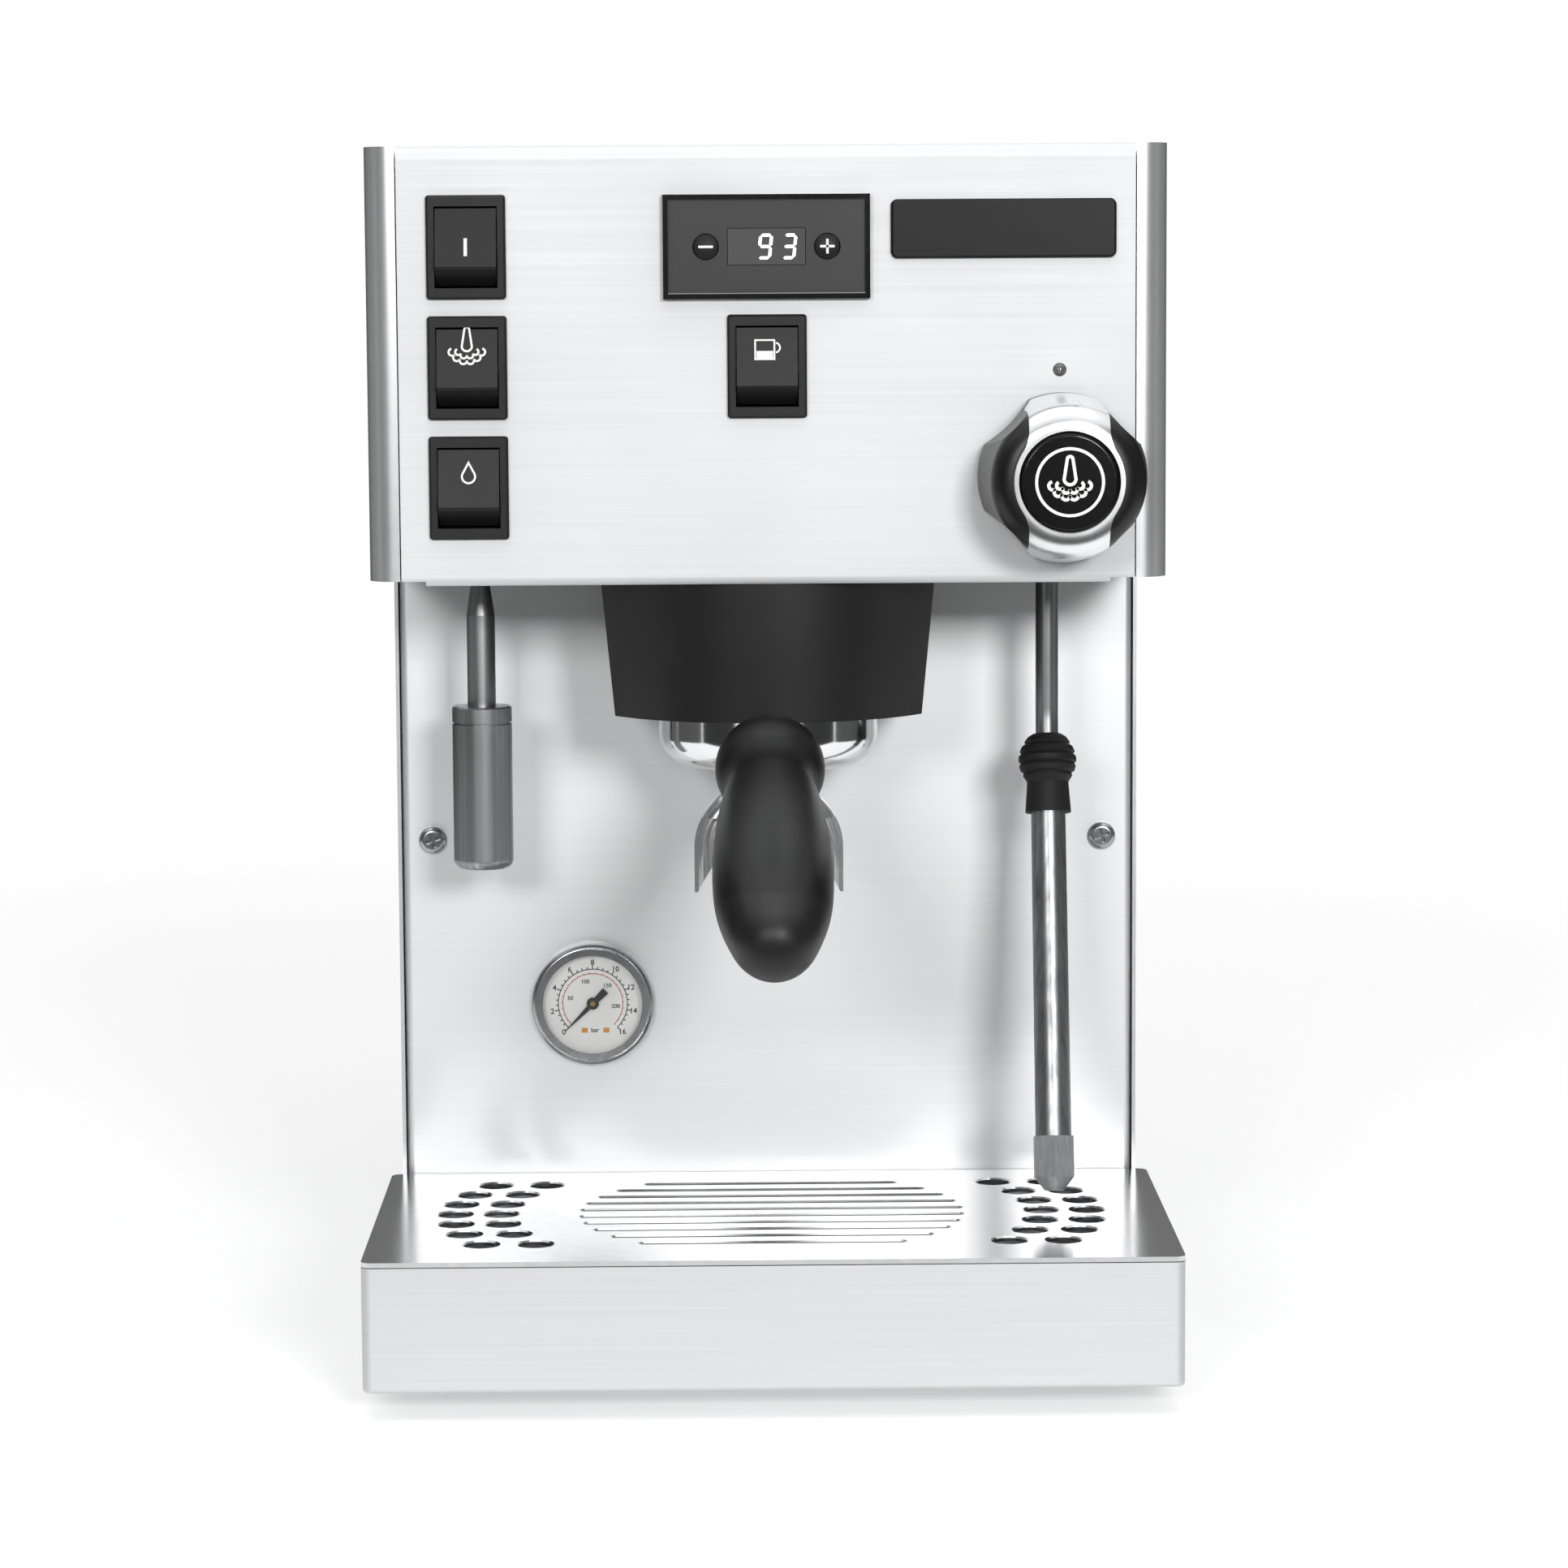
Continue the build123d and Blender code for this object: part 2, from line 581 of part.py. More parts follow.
# Back panel with rows of vent slots and the opening of the mains inlet
with BuildPart() as back_panel:
    with BuildSketch(front_plane(BACK)):
        with Locations((0, BASE_TOP)):
            back_height = TANK_LID_BOTTOM - SLIDE_GAP - BASE_TOP
            Rectangle(2 * (INNER_HALF - SEAM), back_height, align=(Align.CENTER, Align.MIN))
        with Locations((0, VENT_Z)):
            with GridLocations(VENT_LENGTH + VENT_BRIDGE, VENT_PITCH, VENT_COLUMNS, VENT_ROWS):
                SlotOverall(VENT_LENGTH, VENT_WIDTH, mode=Mode.SUBTRACT)
        with Locations((INLET_X, INLET_Z)):
            Rectangle(INLET_WIDTH, INLET_HEIGHT, mode=Mode.SUBTRACT)
    extrude(amount=SHEET)
write(back_panel.part, "back_panel")

# Cup tray: the sunk top of the housing, with warm-air slots
with BuildPart() as cup_tray:
    with BuildSketch(Plane.XY.offset(CUP_TRAY_TOP - SHEET)):
        with Locations((0, CUP_TRAY_FRONT)):
            Rectangle(2 * (INNER_HALF - SEAM), CUP_TRAY_DEPTH, align=(Align.CENTER, Align.MIN))
    extrude(amount=CUP_TRAY_RECESS + SHEET)
    with BuildSketch(Plane.XY.offset(CUP_TRAY_TOP)):
        with Locations((0, CUP_TRAY_FRONT + CUP_TRAY_DEPTH / 2)):
            RectangleRounded(2 * (INNER_HALF - SEAM - SHEET), CUP_TRAY_DEPTH - 2 * SHEET, LIP_RADIUS)
    extrude(amount=CUP_TRAY_RECESS, mode=Mode.SUBTRACT)
    with BuildSketch(Plane.XY.offset(CUP_TRAY_TOP)):
        with Locations((0, CUP_TRAY_FRONT + CUP_TRAY_DEPTH / 2)):
            with GridLocations(VENT_LENGTH + VENT_BRIDGE, 2 * VENT_PITCH, VENT_COLUMNS, VENT_ROWS):
                SlotOverall(VENT_LENGTH, VENT_WIDTH)
    extrude(amount=-SHEET, mode=Mode.SUBTRACT)
write(cup_tray.part, "cup_tray")

# Chassis: two sheet cheeks with windows, the shelf that carries the group, and cross strips
with BuildPart() as chassis:
    for cheek_x in (-INNER_HALF, CHEEK_HALF):
        with BuildSketch(side_plane(cheek_x)):
            with Locations((SPLASH + SPLASH_FLANGE, BASE_TOP)):
                cheek_depth = BODY_DEPTH - SPLASH_FLANGE - SHEET
                Rectangle(cheek_depth, CHEEK_TOP - BASE_TOP, align=(Align.MIN, Align.MIN))
            with Locations((CHEEK_NOSE, UNDERSIDE_BOTTOM)):
                nose_depth = SPLASH + SPLASH_FLANGE - CHEEK_NOSE
                Rectangle(nose_depth, CHEEK_TOP - UNDERSIDE_BOTTOM, align=(Align.MIN, Align.MIN))
            with Locations((SPLASH + BODY_DEPTH / 2, (BASE_TOP + SHELF_BOTTOM) / 2)):
                RectangleRounded(
                    BODY_DEPTH - 2 * CHEEK_MARGIN,
                    SHELF_BOTTOM - BASE_TOP - 2 * CHEEK_MARGIN,
                    CHEEK_CORNER,
                    mode=Mode.SUBTRACT,
                )
            with Locations((SPLASH + BODY_DEPTH / 2, (SHELF_TOP + CHEEK_TOP) / 2)):
                RectangleRounded(
                    BODY_DEPTH - 2 * CHEEK_MARGIN,
                    CHEEK_TOP - SHELF_TOP - CHEEK_MARGIN,
                    CHEEK_CORNER,
                    mode=Mode.SUBTRACT,
                )
        extrude(amount=CHEEK)
    with BuildSketch(Plane.XY.offset(SHELF_BOTTOM)):
        with Locations((0, CHEEK_NOSE)):
            Rectangle(2 * CHEEK_HALF, SPLASH + SHELF_BEHIND - CHEEK_NOSE, align=(Align.CENTER, Align.MIN))
        with Locations((0, GROUP_Y)):
            Circle(GROUP_NECK_DIAMETER / 2 + SEAM, mode=Mode.SUBTRACT)
        with Locations((KNOB_X, WAND_Y)):
            Circle(VALVE_LEG_DIAMETER / 2 + SEAM, mode=Mode.SUBTRACT)
        with Locations((OUTLET_X, WAND_Y)):
            Circle(OUTLET_TUBE_DIAMETER / 2 + SEAM, mode=Mode.SUBTRACT)
    extrude(amount=SHELF_THICKNESS)
    with BuildSketch(Plane.XY.offset(SCREW_Z - SCREW_BAR_HEIGHT / 2)):
        with Locations((0, SPLASH + SHEET)):
            screw_bar_half = INNER_HALF - SEAM - LIP_RADIUS
            Rectangle(2 * screw_bar_half, SPLASH_FLANGE, align=(Align.CENTER, Align.MIN))
        with Locations((0, SPLASH + SPLASH_FLANGE)):
            Rectangle(2 * CHEEK_HALF, SCREW_BAR_DEPTH, align=(Align.CENTER, Align.MIN))
        with Locations((0, SPLASH + SHEET + SCREW_BAR_SHEET)):
            Rectangle(SCREW_BAR_OPEN, BODY_DEPTH, align=(Align.CENTER, Align.MIN), mode=Mode.SUBTRACT)
    extrude(amount=SCREW_BAR_HEIGHT)
    with BuildSketch(front_plane(SPLASH)):
        with Locations((-SCREW_X, SCREW_Z), (SCREW_X, SCREW_Z)):
            Circle(SCREW_DIAMETER / 2)
    extrude(amount=-SPLASH_FLANGE - SCREW_BAR_DEPTH, mode=Mode.SUBTRACT)
    with BuildSketch(Plane.XY.offset(CHEEK_TOP)):
        with Locations((0, CUP_TRAY_FRONT + CUP_TRAY_DEPTH)):
            Rectangle(2 * INNER_HALF, CUP_STRIP_DEPTH, align=(Align.CENTER, Align.MAX))
    extrude(amount=-SHELF_THICKNESS)
write(chassis.part, "chassis")

# Water tank: an open moulded box that stands at the back, lifted out at the top
with BuildPart() as water_tank:
    with BuildSketch(Plane.XY.offset(BASE_TOP + RUNNING_GAP)):
        with Locations((TANK_X, TANK_Y)):
            RectangleRounded(TANK_WIDTH, TANK_DEPTH, TANK_CORNER)
    extrude(amount=TANK_TOP - BASE_TOP - RUNNING_GAP)
    with BuildSketch(Plane.XY.offset(BASE_TOP + RUNNING_GAP + TANK_WALL)):
        with Locations((TANK_X, TANK_Y)):
            RectangleRounded(TANK_WIDTH - 2 * TANK_WALL, TANK_DEPTH - 2 * TANK_WALL, TANK_CORNER - TANK_WALL)
    extrude(amount=TANK_TOP - BASE_TOP, mode=Mode.SUBTRACT)
write(water_tank.part, "water_tank")

# Tank lid: the rear of the top, with a rim that drops into the tank and a filling hole
with BuildPart() as tank_lid:
    with BuildSketch(Plane.XY.offset(TANK_LID_BOTTOM)):
        with Locations((0, TANK_LID_FRONT + SEAM)):
            Rectangle(2 * (INNER_HALF - SLIDE_GAP), TANK_LID_DEPTH - SEAM, align=(Align.CENTER, Align.MIN))
    extrude(amount=TANK_LID_THICKNESS)
    with BuildSketch(Plane.XY.offset(TANK_LID_BOTTOM)):
        with Locations((TANK_X, TANK_Y)):
            RectangleRounded(TANK_WIDTH - LID_RIM_LESS, TANK_DEPTH - LID_RIM_LESS, TANK_CORNER - TANK_WALL)
            RectangleRounded(
                TANK_WIDTH - LID_RIM_LESS - 2 * TANK_LID_THICKNESS,
                TANK_DEPTH - LID_RIM_LESS - 2 * TANK_LID_THICKNESS,
                TANK_CORNER - TANK_WALL - TANK_LID_THICKNESS,
                mode=Mode.SUBTRACT,
            )
    extrude(amount=-LID_RIM_DROP)
    with BuildSketch(Plane.XY.offset(TANK_LID_BOTTOM)):
        with Locations((TANK_X, TANK_Y)):
            SlotOverall(LID_HOLE_LENGTH, LID_HOLE_WIDTH)
    extrude(amount=TANK_LID_THICKNESS, mode=Mode.SUBTRACT)
write(tank_lid.part, "tank_lid")

# Drip tray: a drawer that stands round the front of the base pan
with BuildPart() as drip_tray:
    with BuildSketch(Plane.XY.offset(TRAY_BOTTOM)):
        with Locations((0, TRAY_FRONT)):
            Rectangle(TRAY_WIDTH, TRAY_LENGTH, align=(Align.CENTER, Align.MIN))
    extrude(amount=TRAY_RIM - TRAY_BOTTOM)
    fillet(drip_tray.edges().filter_by(Axis.Z).sort_by(Axis.Y)[:2], TRAY_CORNER)
    fillet(drip_tray.faces().sort_by(Axis.Y)[0].edges().sort_by(Axis.Z)[0], TRAY_EDGE_RADIUS)
    with BuildSketch(Plane.XY.offset(BASE_TOP + RUNNING_GAP + TRAY_WALL)):
        with Locations((0, TRAY_FRONT + TRAY_LENGTH / 2)):
            RectangleRounded(TRAY_WIDTH - 2 * TRAY_WALL, TRAY_LENGTH - 2 * TRAY_WALL, TRAY_CORNER)
    extrude(amount=TRAY_HEIGHT, mode=Mode.SUBTRACT)
    with BuildSketch(Plane.XY.offset(TRAY_BOTTOM)):
        with Locations((0, BASE_FRONT - SLIDE_GAP)):
            Rectangle(2 * (INNER_HALF + SLIDE_GAP), TRAY_REACH, align=(Align.CENTER, Align.MIN))
    extrude(amount=BASE_TOP + RUNNING_GAP - TRAY_BOTTOM, mode=Mode.SUBTRACT)
write(drip_tray.part, "drip_tray")

# Drip grate: flat polished sheet with slots inside one circle and two arcs of drain holes at each side
with BuildPart() as drip_grate:
    with BuildSketch(Plane.XY.offset(TRAY_TOP - GRATE_SHEET)):
        with Locations((0, TRAY_FRONT + TRAY_LENGTH / 2)):
            RectangleRounded(TRAY_WIDTH, TRAY_LENGTH, TRAY_CORNER)
        for row in range(SLOT_COUNT):
            slot_y = (row - (SLOT_COUNT - 1) / 2) * SLOT_PITCH
            slot_length = 2 * sqrt(SLOT_CIRCLE_RADIUS**2 - slot_y**2)
            with Locations((0, GRATE_MIDDLE + slot_y)):
                SlotOverall(slot_length, SLOT_WIDTH, mode=Mode.SUBTRACT)
        for row in range(HOLE_ROWS):
            hole_y = (row - (HOLE_ROWS - 1) / 2) * HOLE_PITCH
            for circle_radius in HOLE_CIRCLE_RADII:
                hole_x = sqrt(circle_radius**2 - hole_y**2)
                with Locations((-hole_x, GRATE_MIDDLE + hole_y), (hole_x, GRATE_MIDDLE + hole_y)):
                    Circle(HOLE_DIAMETER / 2, mode=Mode.SUBTRACT)
    extrude(amount=GRATE_SHEET)
    chamfer(drip_grate.faces().sort_by(Axis.Z)[-1].inner_wires().edges(), GRATE_EDGE)
    with BuildSketch(Plane.XY.offset(TRAY_TOP - GRATE_SHEET)):
        skirt_x = TRAY_WIDTH / 2 - TRAY_WALL - SLIDE_GAP
        with Locations((-skirt_x, GRATE_MIDDLE), (skirt_x - GRATE_SHEET, GRATE_MIDDLE)):
            Rectangle(GRATE_SHEET, 2 * SLOT_CIRCLE_RADIUS - TRAY_CORNER, align=(Align.MIN, Align.CENTER))
    extrude(amount=-GRATE_SKIRT)
write(drip_grate.part, "drip_grate")

# Group head: ring with a bayonet groove under a lip, on a neck that hangs from the shelf
with BuildPart() as group_head:
    with BuildSketch(GROUP_PLANE):
        with BuildLine():
            Polyline(
                (WATER_BORE / 2, GASKET_TOP),
                (WATER_BORE / 2, SHELF_TOP),
                (GROUP_NECK_DIAMETER / 2, SHELF_TOP),
                (GROUP_NECK_DIAMETER / 2, GROUP_SHOULDER),
                (GROUP_RING_DIAMETER / 2, GROUP_SHOULDER),
                (GROUP_RING_DIAMETER / 2, GROUP_BOTTOM),
                (BOWL_RADIUS + SLIDE_GAP, GROUP_BOTTOM),
                (BOWL_RADIUS + SLIDE_GAP, GROUP_BOTTOM + GROUP_LIP_HEIGHT),
                (EAR_RADIUS + SLIDE_GAP, GROUP_BOTTOM + GROUP_LIP_HEIGHT),
                (EAR_RADIUS + SLIDE_GAP, EAR_TOP + SLIDE_GAP),
                (BOWL_RADIUS + SLIDE_GAP, EAR_TOP + SLIDE_GAP),
                (BOWL_RADIUS + SLIDE_GAP, GASKET_TOP),
                close=True,
            )
        make_face()
    revolve(axis=GROUP_AXIS)
    with BuildSketch(Plane.XY.offset(GROUP_BOTTOM)):
        with Locations((0, GROUP_Y)):
            Circle(EAR_RADIUS + SLIDE_GAP)
            ear_way = EAR_WIDTH + 4 * SLIDE_GAP
            Rectangle(GROUP_RING_DIAMETER, ear_way, rotation=-LOCK_TURN, mode=Mode.INTERSECT)
    extrude(amount=GROUP_LIP_HEIGHT, mode=Mode.SUBTRACT)
    low_circles = group_head.edges().filter_by(GeomType.CIRCLE).group_by(Axis.Z)[0]
    chamfer(low_circles.sort_by(SortBy.RADIUS)[-1], SHEET)
write(group_head.part, "group_head")

# Group gasket and shower screen, above the rim of the basket
with BuildPart() as group_gasket:
    with BuildSketch(Plane.XY.offset(GASKET_BOTTOM)):
        with Locations((0, GROUP_Y)):
            Circle(BOWL_RADIUS + SLIDE_GAP - SEAM)
            Circle(BASKET_BORE / 2 + SEAM, mode=Mode.SUBTRACT)
    extrude(amount=GASKET_HEIGHT)
write(group_gasket.part, "group_gasket")

with BuildPart() as shower_screen:
    with BuildSketch(GROUP_PLANE):
        with BuildLine():
            Polyline(
                (SCREW_DIAMETER / 2, SCREEN_BOTTOM),
                (BASKET_BORE / 2 - SCREEN_GAP, SCREEN_BOTTOM),
                (BASKET_BORE / 2 - SHEET, GASKET_TOP),
                (BASKET_BORE / 2 - SCREEN_THICKNESS, GASKET_TOP),
                (BASKET_BORE / 2 - 2 * SCREEN_THICKNESS, GASKET_TOP - SCREEN_GAP),
                (SCREW_DIAMETER / 2, GASKET_TOP - SCREEN_GAP),
                close=True,
            )
        make_face()
    revolve(axis=GROUP_AXIS)
write(shower_screen.part, "shower_screen")


def cover_outline(z, width, front, inset):
    """Plan of the group cover at z: straight sides and one shallow arc as its front, drawn in by inset."""
    half = width / 2 - inset
    corner_y = GROUP_Y - front + COVER_BULGE
    back_y = GROUP_Y + COVER_BACK - inset
    with BuildSketch(Plane.XY.offset(z)) as outline:
        with BuildLine():
            Polyline((half, corner_y), (half, back_y), (-half, back_y), (-half, corner_y))
            ThreePointArc((-half, corner_y), (0, GROUP_Y - front + inset), (half, corner_y))
        make_face()
    return outline.sketch


# Group cover: a tapered black skirt under the head, round the group head
cover_top_front = COVER_FRONT + COVER_FRONT_FLARE
with BuildPart() as group_cover:
    loft(
        [
            cover_outline(COVER_RIM_Z, COVER_LOW_WIDTH, COVER_FRONT, 0),
            cover_outline(LIP_BOTTOM, COVER_TOP_WIDTH, cover_top_front, 0),
        ],
        ruled=True,
    )
    loft(
        [
            cover_outline(COVER_RIM_Z, COVER_LOW_WIDTH, COVER_FRONT, COVER_WALL),
            cover_outline(LIP_BOTTOM - COVER_WALL, COVER_TOP_WIDTH, cover_top_front, COVER_WALL),
        ],
        ruled=True,
        mode=Mode.SUBTRACT,
    )
    with BuildSketch(Plane.XY.offset(LIP_BOTTOM)):
        with Locations((0, GROUP_Y)):
            Circle(GROUP_NECK_DIAMETER / 2 + SEAM)
    extrude(amount=-COVER_WALL, mode=Mode.SUBTRACT)
write(group_cover.part, "group_cover")

# Portafilter bowl with its two ears, its shank and the groove of the basket spring
with BuildPart() as portafilter_bowl:
    with BuildSketch(GROUP_PLANE):
        with BuildLine():
            Polyline(
                (WATER_BORE / 2, BOWL_BOTTOM_Z),
                (BOWL_RADIUS, BOWL_BOTTOM_Z),
                (BOWL_RADIUS, BOWL_RIM_Z),
                (WELL_RADIUS, BOWL_RIM_Z),
                (WELL_RADIUS, SPRING_Z + SPRING_WIRE),
                (WELL_RADIUS + SPRING_WIRE, SPRING_Z + SPRING_WIRE),
                (WELL_RADIUS + SPRING_WIRE, SPRING_Z - SPRING_WIRE),
                (WELL_RADIUS, SPRING_Z - SPRING_WIRE),
                (WELL_RADIUS, BOWL_BOTTOM_Z + BOWL_FLOOR),
                (WATER_BORE / 2, BOWL_BOTTOM_Z + BOWL_FLOOR),
                close=True,
            )
        make_face()
    revolve(axis=GROUP_AXIS)
    bottom_circles = portafilter_bowl.edges().filter_by(GeomType.CIRCLE).group_by(Axis.Z)[0]
    fillet(bottom_circles.sort_by(SortBy.RADIUS)[-1], BOWL_ROUNDING)
    with BuildSketch(Plane.XY.offset(EAR_TOP)):
        with Locations((0, GROUP_Y)):
            Circle(EAR_RADIUS)
            Rectangle(2 * EAR_RADIUS, EAR_WIDTH, mode=Mode.INTERSECT)
            Circle(BOWL_RADIUS - SHEET, mode=Mode.SUBTRACT)
    extrude(amount=-EAR_HEIGHT)
    with BuildSketch(front_plane(GROUP_Y - BALL_REACH - SHANK_IN_HANDLE)):
        with Locations((0, SHANK_Z)):
            Circle(SHANK_DIAMETER / 2)
    extrude(amount=WELL_RADIUS + SHEET - BALL_REACH - SHANK_IN_HANDLE)
write(portafilter_bowl.part, "portafilter_bowl")

# Filter basket and the wire ring that holds it in the bowl
with BuildPart() as filter_basket:
    with BuildSketch(GROUP_PLANE):
        with BuildLine():
            Polyline(
                (0, BOWL_RIM_Z - BASKET_DEPTH),
                (BASKET_RADIUS - 2 * BASKET_WALL, BOWL_RIM_Z - BASKET_DEPTH),
                (BASKET_RADIUS, BOWL_RIM_Z - BASKET_DEPTH / 2),
                (BASKET_RADIUS, BOWL_RIM_Z),
                (BASKET_RADIUS + BASKET_LIP, BOWL_RIM_Z),
                (BASKET_RADIUS + BASKET_LIP, BOWL_RIM_Z + BASKET_WALL),
                (BASKET_BORE / 2, BOWL_RIM_Z + BASKET_WALL),
                (BASKET_BORE / 2, BOWL_RIM_Z - BASKET_DEPTH / 2),
                (BASKET_BORE / 2 - 2 * BASKET_WALL, BOWL_RIM_Z - BASKET_DEPTH + BASKET_WALL),
                (0, BOWL_RIM_Z - BASKET_DEPTH + BASKET_WALL),
                close=True,
            )
        make_face()
    revolve(axis=GROUP_AXIS)
write(filter_basket.part, "filter_basket")

with BuildPart() as basket_spring:
    with BuildSketch(GROUP_PLANE):
        with Locations((BASKET_RADIUS + RUNNING_GAP + SPRING_WIRE / 2, SPRING_Z)):
            Circle(SPRING_WIRE / 2)
    revolve(axis=GROUP_AXIS)
write(basket_spring.part, "basket_spring")

# Portafilter handle: ball, neck and swelling grip turned about one tilted axis, with a capped end
with BuildPart() as handle_blank:
    with BuildSketch(HANDLE_PLANE):
        with BuildLine():
            edge_angle = radians(BALL_EDGE_ANGLE)
            ball_edge = (BALL_RADIUS * cos(edge_angle), BALL_RADIUS * sin(edge_angle))
            ThreePointArc((-BALL_RADIUS, 0), (0, BALL_RADIUS), ball_edge)
            neck_out = (2 * HANDLE_NECK_AT - ball_edge[0], ball_edge[1])
            ThreePointArc(ball_edge, (HANDLE_NECK_AT, HANDLE_NECK_DIAMETER / 2), neck_out)
            widest = (HANDLE_WIDEST_AT, HANDLE_DIAMETER / 2)
            TangentArc(widest, neck_out, tangent=(-1, 0))
            nose_edge = (HANDLE_END_AT, HANDLE_END_DIAMETER / 2)
            handle_tip = (HANDLE_LENGTH, 0)
            Spline(widest, nose_edge, handle_tip, tangents=((1, 0), (0, -1)))
            Line(handle_tip, (-BALL_RADIUS, 0))
        make_face()
    revolve(axis=Axis(BALL_CENTRE, HANDLE_WAY))
    with BuildSketch(front_plane(GROUP_Y)):
        with Locations((0, SHANK_Z)):
            Circle(SHANK_DIAMETER / 2)
    extrude(amount=BALL_REACH + SHANK_IN_HANDLE, mode=Mode.SUBTRACT)

cap_origin = HANDLE_PLANE.from_local_coords((CAP_SEAM_AT, 0, 0))
cap_tilt = radians(HANDLE_TILT - CAP_SEAM_SLOPE)
cap_plane = Plane(origin=cap_origin, x_dir=(1, 0, 0), z_dir=(0, sin(cap_tilt), -cos(cap_tilt)))

with BuildPart() as portafilter_handle:
    add(handle_blank.part)
    split(bisect_by=cap_plane, keep=Keep.BOTTOM)
write(portafilter_handle.part, "portafilter_handle")

with BuildPart() as handle_end_cap:
    add(handle_blank.part)
    split(bisect_by=cap_plane, keep=Keep.TOP)
write(handle_end_cap.part, "handle_end_cap")


def spout_arm(side, diameter):
    """Round bar of one diameter along the way of the spout's arm at side -1 or 1."""
    arm_x = (SPOUT_WIDTH - SPOUT_TUBE_DIAMETER) / 2
    arm_top = BOWL_BOTTOM_Z - SPOUT_HUB_HEIGHT + SPOUT_TUBE_DIAMETER / 2
    with BuildLine(GROUP_PLANE) as arm_path:
        FilletPolyline(
            (0, arm_top),
            (side * arm_x, arm_top),
            (side * arm_x, SPOUT_END_Z),
            radius=SPOUT_BEND_RADIUS,
        )
    with BuildSketch(Plane(origin=arm_path.line @ 0, z_dir=arm_path.line % 0)) as section:
        Circle(diameter / 2)
    return sweep(section.sketch, path=arm_path.line, mode=Mode.PRIVATE)


# Two-way spout: a hub screwed into the bowl and two bored arms, open in front, that bend down to pointed ends
with BuildPart() as double_spout:
    with BuildSketch(Plane.XY.offset(BOWL_BOTTOM_Z - SPOUT_HUB_HEIGHT)):
        with Locations((0, GROUP_Y)):
            Circle(SPOUT_HUB_DIAMETER / 2)
    extrude(amount=SPOUT_HUB_HEIGHT)
    with BuildSketch(Plane.XY.offset(BOWL_BOTTOM_Z)):
        with Locations((0, GROUP_Y)):
            Circle(WATER_BORE / 2 - RUNNING_GAP)
    extrude(amount=BOWL_FLOOR)
    add([spout_arm(-1, SPOUT_TUBE_DIAMETER), spout_arm(1, SPOUT_TUBE_DIAMETER)])
    add([spout_arm(-1, SPOUT_BORE), spout_arm(1, SPOUT_BORE)], mode=Mode.SUBTRACT)
    with BuildSketch(Plane.XY.offset(BOWL_BOTTOM_Z + BOWL_FLOOR)):
        with Locations((0, GROUP_Y)):
            Circle(SPOUT_FEED / 2)
    extrude(amount=-SPOUT_HUB_HEIGHT, mode=Mode.SUBTRACT)
    with BuildSketch(Plane.XY.offset(SPOUT_END_Z)):
        with Locations((0, GROUP_Y - SPOUT_OPEN_AT)):
            Rectangle(SPOUT_WIDTH, SPOUT_TUBE_DIAMETER, align=(Align.CENTER, Align.MAX))
    extrude(amount=SPOUT_OPEN_HEIGHT, mode=Mode.SUBTRACT)
    with BuildSketch(GROUP_PLANE):
        tip_x = SPOUT_WIDTH / 2 - SPOUT_TIP
        slant_x = tip_x - SPOUT_TUBE_DIAMETER
        slant_z = SPOUT_END_Z + SPOUT_TUBE_DIAMETER * tan(radians(SPOUT_SLANT))
        slanted_cut = ((-tip_x, SPOUT_END_Z), (tip_x, SPOUT_END_Z), (slant_x, slant_z), (-slant_x, slant_z))
        Polygon(*slanted_cut, align=None)
    extrude(amount=SPOUT_TUBE_DIAMETER, both=True, mode=Mode.SUBTRACT)
write(double_spout.part, "double_spout")


